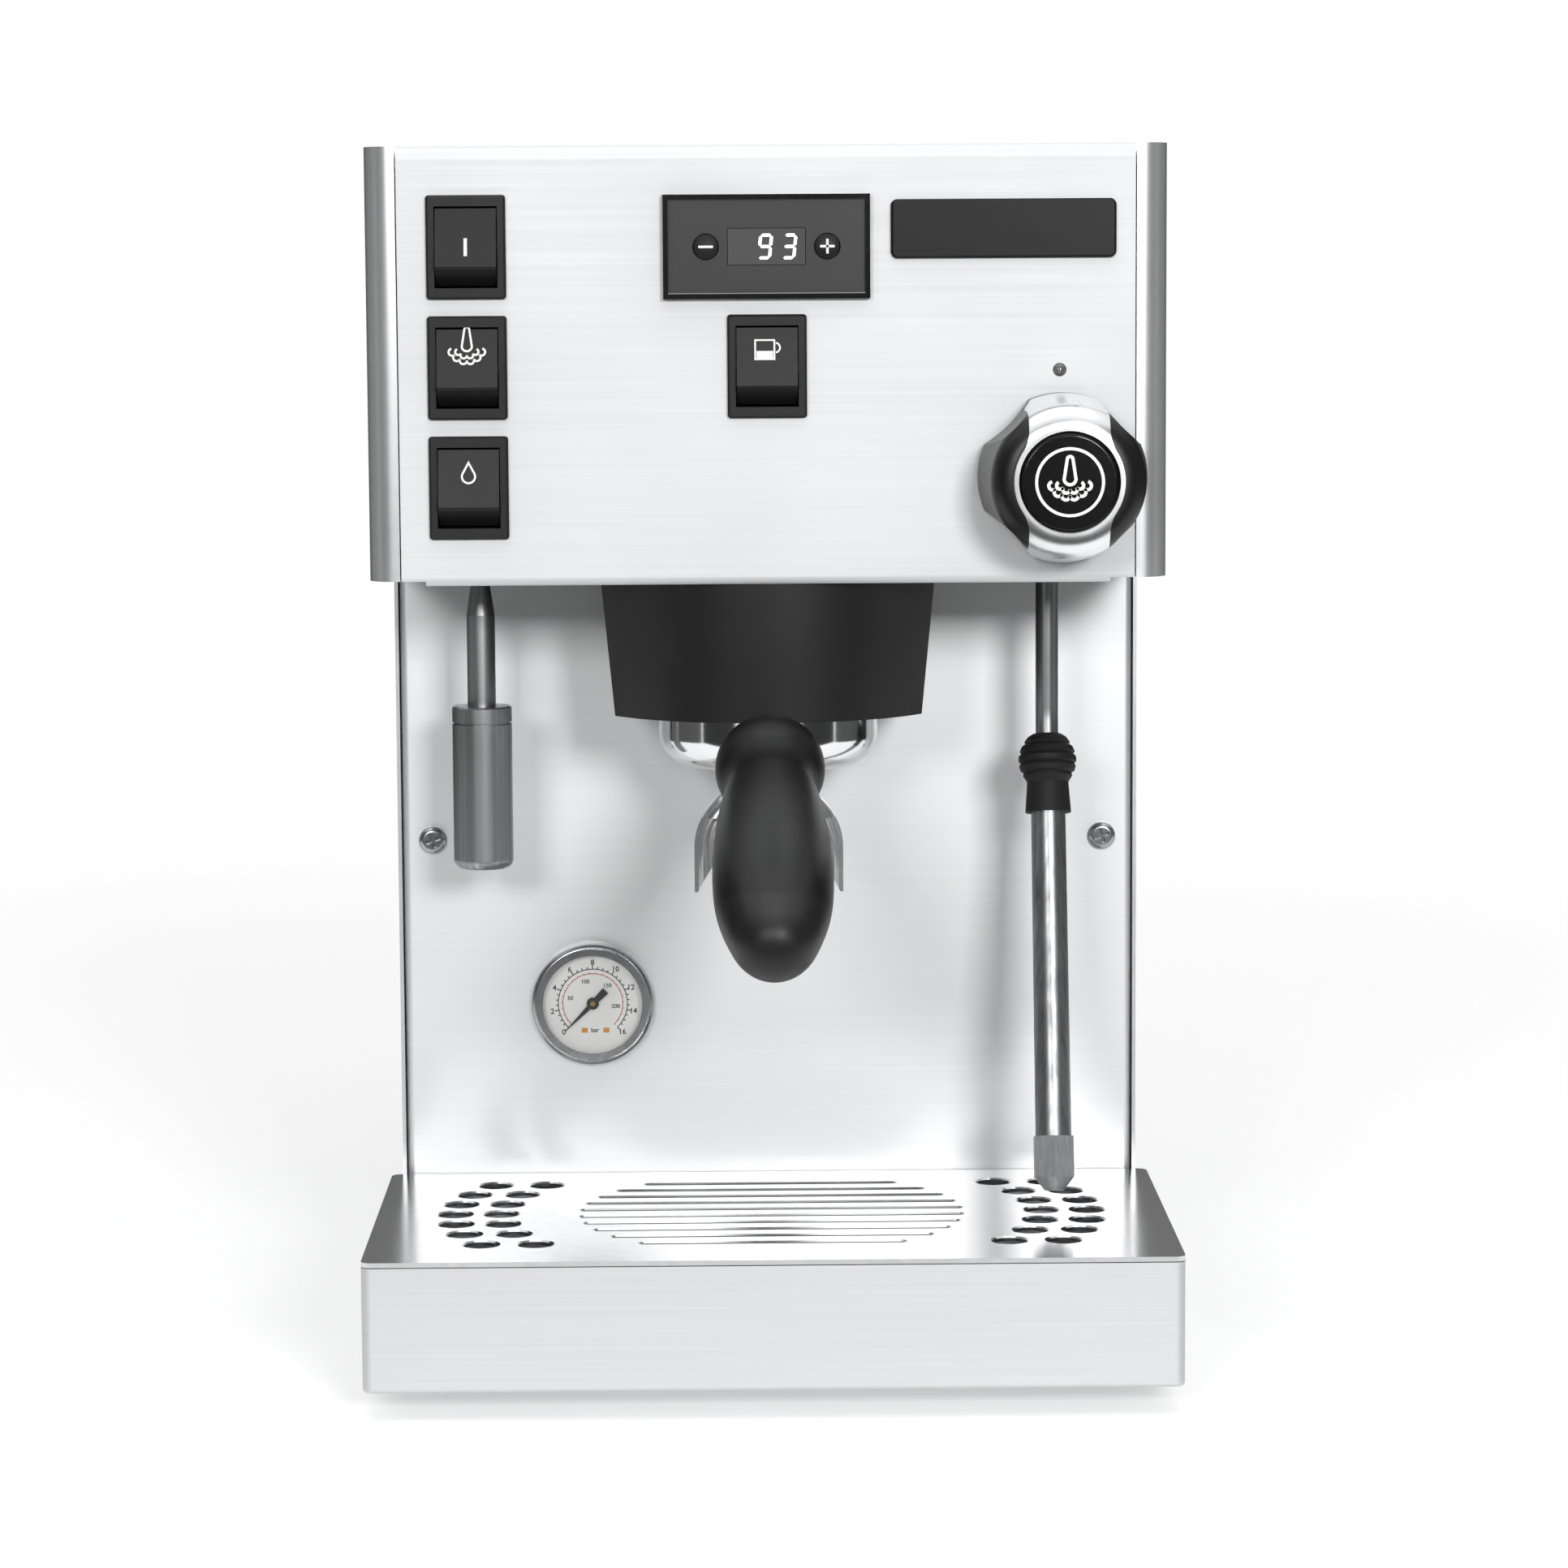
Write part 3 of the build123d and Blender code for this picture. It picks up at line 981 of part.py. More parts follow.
# Rocker switches: a frame snapped into the panel and a rocker that tips on two trunnions
def rocker_switch(name, x, z):
    """Make one switch at x and z and write its frame and its rocker."""
    with BuildPart() as frame:
        with BuildSketch(front_plane(HEAD_FRONT)):
            with Locations((x, z)):
                RectangleRounded(SWITCH_WIDTH, SWITCH_HEIGHT, SWITCH_CORNER)
        extrude(amount=SWITCH_BEZEL)
        chamfer(frame.faces().sort_by(Axis.Y)[0].edges(), SWITCH_BEVEL)
        with BuildSketch(front_plane(HEAD_FRONT)):
            with Locations((x, z)):
                Rectangle(SWITCH_WIDTH - SWITCH_LAP - SEAM, SWITCH_HEIGHT - SWITCH_LAP - SEAM)
        extrude(amount=-SWITCH_DEPTH)
        with BuildSketch(front_plane(HEAD_FRONT - SWITCH_BEZEL)):
            with Locations((x, z)):
                Rectangle(ROCKER_OPENING_WIDTH, ROCKER_OPENING_HEIGHT)
        extrude(amount=-SWITCH_BEZEL - ROCKER_WELL, mode=Mode.SUBTRACT)
        with BuildSketch(side_plane(x)):
            with Locations((HEAD_FRONT, z)):
                Circle(TRUNNION_DIAMETER / 2 + SEAM / 2)
        extrude(amount=ROCKER_OPENING_WIDTH / 2 + TRUNNION_REACH, both=True, mode=Mode.SUBTRACT)
    write(frame.part, f"{name}_switch_frame")

    half_height = ROCKER_HALF_HEIGHT
    half_width = ROCKER_OPENING_WIDTH / 2 - RUNNING_GAP
    with BuildPart() as rocker:
        with BuildSketch(side_plane(x)):
            with BuildLine():
                Polyline(
                    (HEAD_FRONT - ROCKER_TOP_OUT, z + half_height),
                    (HEAD_FRONT - ROCKER_RIDGE, z - ROCKER_RIDGE_DROP),
                    (HEAD_FRONT + ROCKER_LOW_IN, z - half_height),
                    (HEAD_FRONT + ROCKER_BACK, z - half_height / 2),
                    (HEAD_FRONT + ROCKER_BACK, z + half_height / 2),
                    (HEAD_FRONT + ROCKER_LOW_IN, z + half_height),
                    close=True,
                )
            make_face()
        extrude(amount=half_width, both=True)
        fillet(rocker.edges().filter_by(Axis.X).sort_by(Axis.Y)[0], SWITCH_CORNER)
        with BuildSketch(side_plane(x)):
            with Locations((HEAD_FRONT, z)):
                Circle(TRUNNION_DIAMETER / 2)
        extrude(amount=ROCKER_OPENING_WIDTH / 2 + TRUNNION_REACH - RUNNING_GAP, both=True)
    write(rocker.part, f"{name}_rocker")


for switch_name, (switch_x, switch_z) in zip(SWITCH_NAMES, SWITCH_PLACES):
    rocker_switch(switch_name, switch_x, switch_z)

# Temperature display: a rimmed face on a housing that is open at the back
with BuildPart() as display_frame:
    with BuildSketch(front_plane(HEAD_FRONT)):
        with Locations((0, DISPLAY_Z)):
            Rectangle(DISPLAY_WIDTH, DISPLAY_HEIGHT)
    extrude(amount=DISPLAY_STANDOUT)
    chamfer(display_frame.faces().sort_by(Axis.Y)[0].edges(), SWITCH_BEVEL)
    with BuildSketch(front_plane(HEAD_FRONT)):
        with Locations((0, DISPLAY_Z)):
            Rectangle(DISPLAY_WIDTH - SWITCH_LAP - SEAM, DISPLAY_HEIGHT - SWITCH_LAP - SEAM)
    extrude(amount=-DISPLAY_DEPTH)
    with BuildSketch(front_plane(DISPLAY_FACE)):
        with Locations((0, DISPLAY_Z)):
            Rectangle(DISPLAY_WIDTH - 2 * DISPLAY_RIM, DISPLAY_HEIGHT - 2 * DISPLAY_RIM)
    extrude(amount=DISPLAY_SINK, mode=Mode.SUBTRACT)
    with BuildSketch(front_plane(DISPLAY_FACE)):
        with Locations((0, DISPLAY_Z)):
            Rectangle(WINDOW_WIDTH + SEAM, WINDOW_HEIGHT + SEAM)
    extrude(amount=-WINDOW_THICKNESS, mode=Mode.SUBTRACT)
    with BuildSketch(front_plane(DISPLAY_FACE)):
        with Locations((-BUTTON_OFFSET, DISPLAY_Z), (BUTTON_OFFSET, DISPLAY_Z)):
            Circle(BUTTON_DIAMETER / 2 + RUNNING_GAP)
    extrude(amount=-DISPLAY_PLATE, mode=Mode.SUBTRACT)
    with BuildSketch(front_plane(DISPLAY_FACE + DISPLAY_PLATE)):
        with Locations((0, DISPLAY_Z)):
            display_wall = SWITCH_LAP + SEAM + 2 * DISPLAY_RIM
            Rectangle(DISPLAY_WIDTH - display_wall, DISPLAY_HEIGHT - display_wall)
    extrude(amount=-DISPLAY_DEPTH, mode=Mode.SUBTRACT)
write(display_frame.part, "display_frame")

with BuildPart() as display_window:
    with BuildSketch(front_plane(DISPLAY_FACE + WINDOW_THICKNESS)):
        with Locations((0, DISPLAY_Z)):
            Rectangle(WINDOW_WIDTH, WINDOW_HEIGHT)
    extrude(amount=WINDOW_THICKNESS)
write(display_window.part, "display_window")


def display_button(name, x):
    """Make one domed button with its stop collar behind the display's face and write it."""
    collar_y = DISPLAY_FACE + DISPLAY_PLATE + RUNNING_GAP
    radius = BUTTON_DIAMETER / 2
    with BuildPart() as button:
        with BuildSketch(side_plane(x)):
            with BuildLine():
                Polyline(
                    (DISPLAY_FACE - BUTTON_RIM, DISPLAY_Z + radius),
                    (collar_y, DISPLAY_Z + radius),
                    (collar_y, DISPLAY_Z + radius + BUTTON_COLLAR),
                    (collar_y + BUTTON_COLLAR, DISPLAY_Z + radius + BUTTON_COLLAR),
                    (collar_y + BUTTON_COLLAR, DISPLAY_Z),
                    (DISPLAY_FACE - BUTTON_RIM - BUTTON_DOME, DISPLAY_Z),
                )
                TangentArc(
                    (DISPLAY_FACE - BUTTON_RIM - BUTTON_DOME, DISPLAY_Z),
                    (DISPLAY_FACE - BUTTON_RIM, DISPLAY_Z + radius),
                    tangent=(0, 1),
                )
            make_face()
        revolve(axis=Axis((x, 0, DISPLAY_Z), (0, 1, 0)))
    write(button.part, name)


display_button("minus_button", -BUTTON_OFFSET)
display_button("plus_button", BUTTON_OFFSET)

# Bare badge plate and pilot lamp
with BuildPart() as badge_plate:
    with BuildSketch(front_plane(HEAD_FRONT)):
        with Locations((BADGE_X, BADGE_Z)):
            RectangleRounded(BADGE_WIDTH, BADGE_HEIGHT, BADGE_CORNER)
    extrude(amount=BADGE_THICKNESS)
    chamfer(badge_plate.faces().sort_by(Axis.Y)[0].edges(), SWITCH_BEVEL)
write(badge_plate.part, "badge_plate")

with BuildPart() as pilot_lamp:
    lamp_radius = LAMP_DIAMETER / 2 - SEAM / 2
    with BuildSketch(side_plane(LAMP_X)):
        with BuildLine():
            Polyline(
                (HEAD_FRONT, LAMP_Z + lamp_radius),
                (HEAD_FRONT + SHEET, LAMP_Z + lamp_radius),
                (HEAD_FRONT + SHEET, LAMP_Z + LAMP_DIAMETER),
                (HEAD_FRONT + SHEET + LAMP_DIAMETER, LAMP_Z + LAMP_DIAMETER),
                (HEAD_FRONT + SHEET + LAMP_DIAMETER, LAMP_Z),
                (HEAD_FRONT - LAMP_DOME, LAMP_Z),
            )
            TangentArc((HEAD_FRONT - LAMP_DOME, LAMP_Z), (HEAD_FRONT, LAMP_Z + lamp_radius), tangent=(0, 1))
        make_face()
    revolve(axis=Axis((LAMP_X, 0, LAMP_Z), (0, 1, 0)))
write(pilot_lamp.part, "pilot_lamp")


def knob_profile(inset):
    """Half section of the steam knob, drawn in by inset from its outer skin."""
    rear = HEAD_FRONT - KNOB_GAP
    face = HEAD_FRONT - KNOB_REACH + inset
    shoulder = face + KNOB_SHOULDER
    rear_radius = KNOB_REAR_DIAMETER / 2 - inset
    front_radius = KNOB_FRONT_DIAMETER / 2 - inset
    flat_radius = KNOB_DISC_RADIUS + BRIDGE_THICKNESS - inset
    with BuildSketch(side_plane(KNOB_X)) as profile:
        with BuildLine():
            Polyline(
                (face, KNOB_Z + flat_radius),
                (face, KNOB_Z),
                (rear, KNOB_Z),
                (rear, KNOB_Z + rear_radius),
                (rear - KNOB_SKIRT, KNOB_Z + rear_radius),
                (shoulder, KNOB_Z + front_radius),
            )
            TangentArc((face, KNOB_Z + flat_radius), (shoulder, KNOB_Z + front_radius), tangent=(0, 1))
        make_face()
    return profile.sketch


# Steam knob: a black grip, a bright bridge over its top, face and bottom, and a disc in the middle
knob_axis = Axis((KNOB_X, 0, KNOB_Z), (0, 1, 0))
with BuildPart() as bridge_blank:
    revolve(knob_profile(0), axis=knob_axis)
    revolve(knob_profile(BRIDGE_THICKNESS), axis=knob_axis, mode=Mode.SUBTRACT)
    with BuildSketch(front_plane(HEAD_FRONT - KNOB_GAP - KNOB_SKIRT)) as bow_tie:
        with Locations((KNOB_X, KNOB_Z)):
            Circle(BRIDGE_RING_RADIUS)
            Rectangle(2 * BRIDGE_HALF_WIDTH, KNOB_REAR_DIAMETER)
        fillet(bow_tie.vertices().sort_by_distance((KNOB_X, KNOB_Z, 0))[:4], BRIDGE_HALF_WIDTH)
    extrude(amount=KNOB_REACH, mode=Mode.INTERSECT)

with BuildPart() as knob_scallops:
    with BuildSketch(front_plane(HEAD_FRONT)):
        with Locations((KNOB_X, KNOB_Z)):
            scallop_reach = KNOB_REAR_DIAMETER / 2 + KNOB_SCALLOP_RADIUS - KNOB_SCALLOP_DEPTH
            with PolarLocations(scallop_reach, 4, start_angle=45):
                Circle(KNOB_SCALLOP_RADIUS)
    extrude(amount=KNOB_REACH)

with BuildPart() as knob_body:
    revolve(knob_profile(0), axis=knob_axis)
    add(bridge_blank.part, mode=Mode.SUBTRACT)
    with BuildSketch(front_plane(HEAD_FRONT - KNOB_REACH)):
        with Locations((KNOB_X, KNOB_Z)):
            Circle(KNOB_DISC_RADIUS + SEAM)
    extrude(amount=-KNOB_DISC_DEPTH, mode=Mode.SUBTRACT)
    with BuildSketch(front_plane(HEAD_FRONT - KNOB_GAP)):
        with Locations((KNOB_X, KNOB_Z)):
            Circle(STEM_DIAMETER / 2)
    extrude(amount=STEM_IN_KNOB, mode=Mode.SUBTRACT)
    add(knob_scallops.part, mode=Mode.SUBTRACT)
write(knob_body.part, "knob_body")

with BuildPart() as knob_bridge:
    add(bridge_blank.part)
    add(knob_scallops.part, mode=Mode.SUBTRACT)
    with BuildSketch(front_plane(HEAD_FRONT - KNOB_REACH)):
        with Locations((KNOB_X, KNOB_Z)):
            Circle(KNOB_DISC_RADIUS + SEAM)
    extrude(amount=-KNOB_DISC_DEPTH, mode=Mode.SUBTRACT)
write(knob_bridge.part, "knob_bridge")

with BuildPart() as knob_disc:
    with BuildSketch(front_plane(HEAD_FRONT - KNOB_REACH + KNOB_DISC_DEPTH)):
        with Locations((KNOB_X, KNOB_Z)):
            Circle(KNOB_DISC_RADIUS)
    extrude(amount=KNOB_DISC_DEPTH)
    fillet(knob_disc.edges().sort_by(Axis.Y)[0], KNOB_DISC_DEPTH / 2)
write(knob_disc.part, "knob_disc")

with BuildPart() as valve_stem:
    with BuildSketch(front_plane(HEAD_FRONT - KNOB_GAP - STEM_IN_KNOB)):
        with Locations((KNOB_X, KNOB_Z)):
            Circle(STEM_DIAMETER / 2)
    extrude(amount=-STEM_IN_KNOB - KNOB_GAP - VALVE_SETBACK - STEM_IN_VALVE)
write(valve_stem.part, "valve_stem")

# Steam valve: its bore lies behind the knob, and its leg goes down through the shelf to the wand's collar
with BuildPart() as steam_valve:
    with BuildSketch(front_plane(HEAD_FRONT + VALVE_SETBACK)):
        with Locations((KNOB_X, KNOB_Z)):
            Circle(VALVE_DIAMETER / 2)
    extrude(amount=-VALVE_LENGTH)
    with BuildSketch(Plane.XY.offset(COLLAR_TOP)):
        with Locations((KNOB_X, WAND_Y)):
            Circle(VALVE_LEG_DIAMETER / 2)
    extrude(amount=KNOB_Z - COLLAR_TOP)
    with BuildSketch(Plane.XY.offset(SHELF_TOP)):
        with Locations((KNOB_X, WAND_Y)):
            Circle(VALVE_LEG_DIAMETER / 2 + VALVE_FLANGE)
    extrude(amount=SHELF_THICKNESS)
    with BuildSketch(front_plane(HEAD_FRONT + VALVE_SETBACK)):
        with Locations((KNOB_X, KNOB_Z)):
            Circle(STEM_DIAMETER / 2 + RUNNING_GAP)
    extrude(amount=-STEM_IN_VALVE - RUNNING_GAP, mode=Mode.SUBTRACT)
write(steam_valve.part, "steam_valve")

# Steam wand: a collar that turns under the valve, the ball and bent tube, the ribbed grip and the tip
with BuildPart() as wand_collar:
    with BuildSketch(Plane.XY.offset(COLLAR_TOP - RUNNING_GAP)):
        with Locations((KNOB_X, WAND_Y)):
            Circle(COLLAR_DIAMETER / 2)
    extrude(amount=-COLLAR_HEIGHT)
    with Locations((KNOB_X, WAND_Y, WAND_BALL_Z)):
        Sphere(WAND_BALL_DIAMETER / 2 + RUNNING_GAP, mode=Mode.SUBTRACT)
    with BuildSketch(Plane.XY.offset(WAND_BALL_Z)):
        with Locations((KNOB_X, WAND_Y)):
            Circle(COLLAR_MOUTH_RADIUS)
    extrude(amount=-COLLAR_HEIGHT, mode=Mode.SUBTRACT)
write(wand_collar.part, "wand_collar")

with BuildPart() as wand_tube:
    with Locations((KNOB_X, WAND_Y, WAND_BALL_Z)):
        Sphere(WAND_BALL_DIAMETER / 2)
    with BuildLine(side_plane(KNOB_X)) as wand_path:
        grip_end = (WAND_GRIP_AT + GRIP_LENGTH) * cos(radians(WAND_LEAN))
        FilletPolyline(
            (WAND_Y, WAND_BALL_Z),
            (WAND_Y, WAND_BEND_Z),
            (WAND_Y - grip_end * tan(radians(WAND_LEAN)), WAND_BEND_Z - grip_end),
            radius=WAND_BEND_RADIUS,
        )
    with BuildSketch(Plane(origin=wand_path.line @ 0, z_dir=wand_path.line % 0)):
        Circle(WAND_TOP_DIAMETER / 2)
    sweep(path=wand_path.line)
    with BuildSketch(WAND_PLANE):
        with BuildLine():
            Polyline(
                (WAND_GRIP_AT + GRIP_LENGTH - GRIP_MOUTH, 0),
                (WAND_GRIP_AT + GRIP_LENGTH - GRIP_MOUTH, WAND_LOW_DIAMETER / 2),
                (WAND_REACH - TIP_LENGTH, TIP_ACROSS / 2 - SEAM),
                (WAND_REACH - TIP_LENGTH, 0),
                close=True,
            )
        make_face()
    revolve(axis=WAND_AXIS)
write(wand_tube.part, "wand_tube")


def grip_radius(share):
    """Radius of the round grip at a share of its ribbed length."""
    return GRIP_DIAMETER / 2 * sin(radians(GRIP_SWELL_START + share * (GRIP_SWELL_END - GRIP_SWELL_START)))


with BuildPart() as wand_grip:
    tube_room = WAND_TOP_DIAMETER / 2 + SEAM
    mouth_room = WAND_LOW_DIAMETER / 2 + SEAM
    grip_tail = WAND_GRIP_AT + GRIP_LENGTH
    grip_outline = [(WAND_GRIP_AT, tube_room)]
    for rib in range(GRIP_RIBS):
        groove_at = WAND_GRIP_AT + GRIP_RIBBED * rib / GRIP_RIBS
        grip_outline.append((groove_at, grip_radius(rib / GRIP_RIBS) - GRIP_GROOVE))
        for rib_share in (RIB_RISE_SHARE, RIB_CREST_SHARE):
            share = (rib + rib_share) / GRIP_RIBS
            grip_outline.append((WAND_GRIP_AT + GRIP_RIBBED * share, grip_radius(share)))
    grip_outline.append((WAND_GRIP_AT + GRIP_RIBBED, GRIP_WAIST / 2))
    grip_outline.append((grip_tail, mouth_room + GRIP_WALL))
    grip_outline.append((grip_tail, mouth_room))
    grip_outline.append((grip_tail - GRIP_MOUTH, mouth_room))
    grip_outline.append((grip_tail - GRIP_MOUTH, tube_room))
    with BuildSketch(WAND_PLANE):
        with BuildLine():
            Polyline(*grip_outline, close=True)
        make_face()
    revolve(axis=WAND_AXIS)
write(wand_grip.part, "wand_grip")

with BuildPart() as wand_tip:
    tip_start = WAND_PLANE.from_local_coords((WAND_REACH - TIP_LENGTH, 0, 0))
    with BuildSketch(Plane(origin=tip_start, z_dir=WAND_WAY)):
        RegularPolygon(TIP_ACROSS / 2, 6, major_radius=False)
    extrude(amount=TIP_LENGTH - TIP_CONE)
    with BuildSketch(WAND_PLANE):
        with BuildLine():
            Polyline(
                (WAND_REACH - TIP_CONE, 0),
                (WAND_REACH - TIP_CONE, TIP_ACROSS / 2),
                (WAND_REACH, TIP_ACROSS / 4),
                (WAND_REACH, 0),
                close=True,
            )
        make_face()
    revolve(axis=WAND_AXIS)
write(wand_tip.part, "wand_tip")

# Hot-water tube with a tapered top, and the bright barrel at its end
outlet_axis = Axis((OUTLET_X, WAND_Y, 0), (0, 0, 1))
outlet_taper_top = HEAD_BOTTOM - OUTLET_TAPER_START
with BuildPart() as hot_water_tube:
    with BuildSketch(front_plane(WAND_Y)):
        with BuildLine():
            Polyline(
                (OUTLET_X, SHELF_TOP + OUTLET_STUB),
                (OUTLET_X + PIPE_DIAMETER / 2, SHELF_TOP + OUTLET_STUB),
                (OUTLET_X + PIPE_DIAMETER / 2, outlet_taper_top),
                (OUTLET_X + OUTLET_TUBE_DIAMETER / 2, outlet_taper_top - OUTLET_TAPER),
                (OUTLET_X + OUTLET_TUBE_DIAMETER / 2, OUTLET_TOP_Z - OUTLET_SOCKET),
                (OUTLET_X, OUTLET_TOP_Z - OUTLET_SOCKET),
                close=True,
            )
        make_face()
    revolve(axis=outlet_axis)
write(hot_water_tube.part, "hot_water_tube")

with BuildPart() as hot_water_outlet:
    with BuildSketch(Plane.XY.offset(OUTLET_TOP_Z)):
        with Locations((OUTLET_X, WAND_Y)):
            Circle(OUTLET_DIAMETER / 2)
    extrude(amount=-OUTLET_LENGTH)
    fillet(hot_water_outlet.edges().sort_by(Axis.Z)[0], OUTLET_ROUNDING)
    chamfer(hot_water_outlet.edges().sort_by(Axis.Z)[-1], SEAM)
    with BuildSketch(Plane.XY.offset(OUTLET_TOP_Z - OUTLET_BAND)):
        with Locations((OUTLET_X, WAND_Y)):
            Circle(OUTLET_DIAMETER / 2)
            Circle(OUTLET_DIAMETER / 2 - OUTLET_GROOVE, mode=Mode.SUBTRACT)
    extrude(amount=-OUTLET_GROOVE, mode=Mode.SUBTRACT)
    with BuildSketch(Plane.XY.offset(OUTLET_TOP_Z)):
        with Locations((OUTLET_X, WAND_Y)):
            Circle(OUTLET_TUBE_DIAMETER / 2)
    extrude(amount=-OUTLET_SOCKET, mode=Mode.SUBTRACT)
    with BuildSketch(Plane.XY.offset(OUTLET_TOP_Z - OUTLET_LENGTH)):
        with Locations((OUTLET_X, WAND_Y)):
            Circle(OUTLET_DIAMETER / 2 - OUTLET_ROUNDING)
    extrude(amount=OUTLET_ROUNDING, mode=Mode.SUBTRACT)
write(hot_water_outlet.part, "hot_water_outlet")

# Pressure gauge: bright case through the splash panel, dial, needle and lens
gauge_axis = Axis((GAUGE_X, 0, GAUGE_Z), (0, 1, 0))
with BuildPart() as gauge_case:
    with BuildSketch(front_plane(SPLASH)):
        with Locations((GAUGE_X, GAUGE_Z)):
            Circle(GAUGE_DIAMETER / 2)
    extrude(amount=GAUGE_STANDOUT)
    fillet(gauge_case.faces().sort_by(Axis.Y)[0].edges(), GAUGE_ROUNDING)
    with BuildSketch(front_plane(SPLASH)):
        with Locations((GAUGE_X, GAUGE_Z)):
            Circle(GAUGE_CASE_DIAMETER / 2 - SEAM)
    extrude(amount=-GAUGE_DEPTH)
    with BuildSketch(front_plane(DIAL_BACK)):
        with Locations((GAUGE_X, GAUGE_Z)):
            Circle(DIAL_DIAMETER / 2 + SEAM)
    extrude(amount=GAUGE_GLASS_OUT, mode=Mode.SUBTRACT)
    with BuildSketch(front_plane(DIAL_BACK)):
        with Locations((GAUGE_X, GAUGE_Z)):
            Circle(DIAL_DIAMETER / 2 - SEAM)
    extrude(amount=GAUGE_STANDOUT, mode=Mode.SUBTRACT)
    with BuildSketch(front_plane(DIAL_BACK)):
        with Locations((GAUGE_X, GAUGE_Z)):
            Circle(SPINDLE_DIAMETER / 2 + RUNNING_GAP)
    extrude(amount=-SPINDLE_LENGTH, mode=Mode.SUBTRACT)
write(gauge_case.part, "gauge_case")

with BuildPart() as gauge_dial:
    with BuildSketch(front_plane(DIAL_BACK)):
        with Locations((GAUGE_X, GAUGE_Z)):
            Circle(DIAL_DIAMETER / 2)
            Circle(SPINDLE_DIAMETER / 2 + RUNNING_GAP, mode=Mode.SUBTRACT)
    extrude(amount=DIAL_THICKNESS)
write(gauge_dial.part, "gauge_dial")

with BuildPart() as gauge_needle:
    with BuildSketch(front_plane(DIAL_BACK - DIAL_THICKNESS - RUNNING_GAP)):
        with Locations((GAUGE_X, GAUGE_Z)):
            Polygon(
                (-NEEDLE_TAIL, -NEEDLE_TAIL_HALF),
                (0, -NEEDLE_HALF),
                (NEEDLE_LENGTH, 0),
                (0, NEEDLE_HALF),
                (-NEEDLE_TAIL, NEEDLE_TAIL_HALF),
                rotation=NEEDLE_ZERO,
                align=None,
            )
            Circle(SPINDLE_DIAMETER)
    extrude(amount=NEEDLE_THICKNESS)
    with BuildSketch(front_plane(DIAL_BACK - DIAL_THICKNESS - RUNNING_GAP)):
        with Locations((GAUGE_X, GAUGE_Z)):
            Circle(SPINDLE_DIAMETER / 2)
    extrude(amount=-DIAL_THICKNESS - SPINDLE_LENGTH)
write(gauge_needle.part, "gauge_needle")

with BuildPart() as gauge_lens:
    with BuildSketch(front_plane(DIAL_BACK - GAUGE_GLASS_OUT)):
        with Locations((GAUGE_X, GAUGE_Z)):
            Circle(DIAL_DIAMETER / 2)
    extrude(amount=-GLASS_THICKNESS)
write(gauge_lens.part, "gauge_lens")

# Pan-head screws with a cross recess: two hold the splash panel and one holds the shower screen
with BuildPart() as pan_head_screws:
    for screw_plane in SCREW_PLANES:
        with BuildSketch(screw_plane):
            Circle(SCREW_HEAD_DIAMETER / 2)
        extrude(amount=SCREW_HEAD_HEIGHT)
        fillet(pan_head_screws.edges(Select.LAST).sort_by_distance(screw_plane.origin)[-1], SCREW_ROUNDING)
        with BuildSketch(screw_plane):
            Circle(SCREW_DIAMETER / 2 - SEAM / 2)
        extrude(amount=-SCREW_LENGTH)
        with BuildSketch(screw_plane.offset(SCREW_HEAD_HEIGHT)):
            for cross_turn in (CROSS_TURN, CROSS_TURN + 90):
                Rectangle(CROSS_LENGTH, CROSS_WIDTH, rotation=cross_turn)
        extrude(amount=-CROSS_DEPTH, mode=Mode.SUBTRACT)
write(pan_head_screws.part, "pan_head_screws")

# Coffee boiler: stands on the shelf above the group head
with BuildPart() as coffee_boiler:
    with BuildSketch(GROUP_PLANE):
        with BuildLine():
            boiler_top = SHELF_TOP + COFFEE_BOILER_HEIGHT
            flange_radius = COFFEE_BOILER_DIAMETER / 2 + BOILER_FLANGE_WIDTH
            Polyline(
                (0, boiler_top),
                (0, SHELF_TOP),
                (flange_radius, SHELF_TOP),
                (flange_radius, SHELF_TOP + BOILER_FLANGE),
                (COFFEE_BOILER_DIAMETER / 2, SHELF_TOP + BOILER_FLANGE),
                (COFFEE_BOILER_DIAMETER / 2, boiler_top - BOILER_DOME),
            )
            dome_edge = (COFFEE_BOILER_DIAMETER / 2, boiler_top - BOILER_DOME)
            TangentArc((0, boiler_top), dome_edge, tangent=(1, 0))
        make_face()
    revolve(axis=GROUP_AXIS)
    with BuildSketch(Plane.XY.offset(boiler_top - BOILER_DOME)):
        with Locations((BOILER_PORT_X, GROUP_Y)):
            Circle(PORT_DIAMETER / 2)
    extrude(amount=BOILER_DOME + PORT_HEIGHT)
write(coffee_boiler.part, "coffee_boiler")

# Solenoid valve: brass block on the shelf beside the boiler, with its coil on top
with BuildPart() as solenoid_valve:
    with BuildSketch(Plane.XY.offset(SHELF_TOP)):
        with Locations((SOLENOID_X, GROUP_Y)):
            RectangleRounded(SOLENOID_WIDTH, SOLENOID_DEPTH, SWITCH_CORNER)
    extrude(amount=SOLENOID_BLOCK)
    with BuildSketch(Plane.XY.offset(SHELF_TOP + SOLENOID_BLOCK)):
        with Locations((SOLENOID_X, GROUP_Y)):
            Circle(SOLENOID_WIDTH / 2 - SWITCH_CORNER)
    extrude(amount=SOLENOID_COIL)
write(solenoid_valve.part, "solenoid_valve")

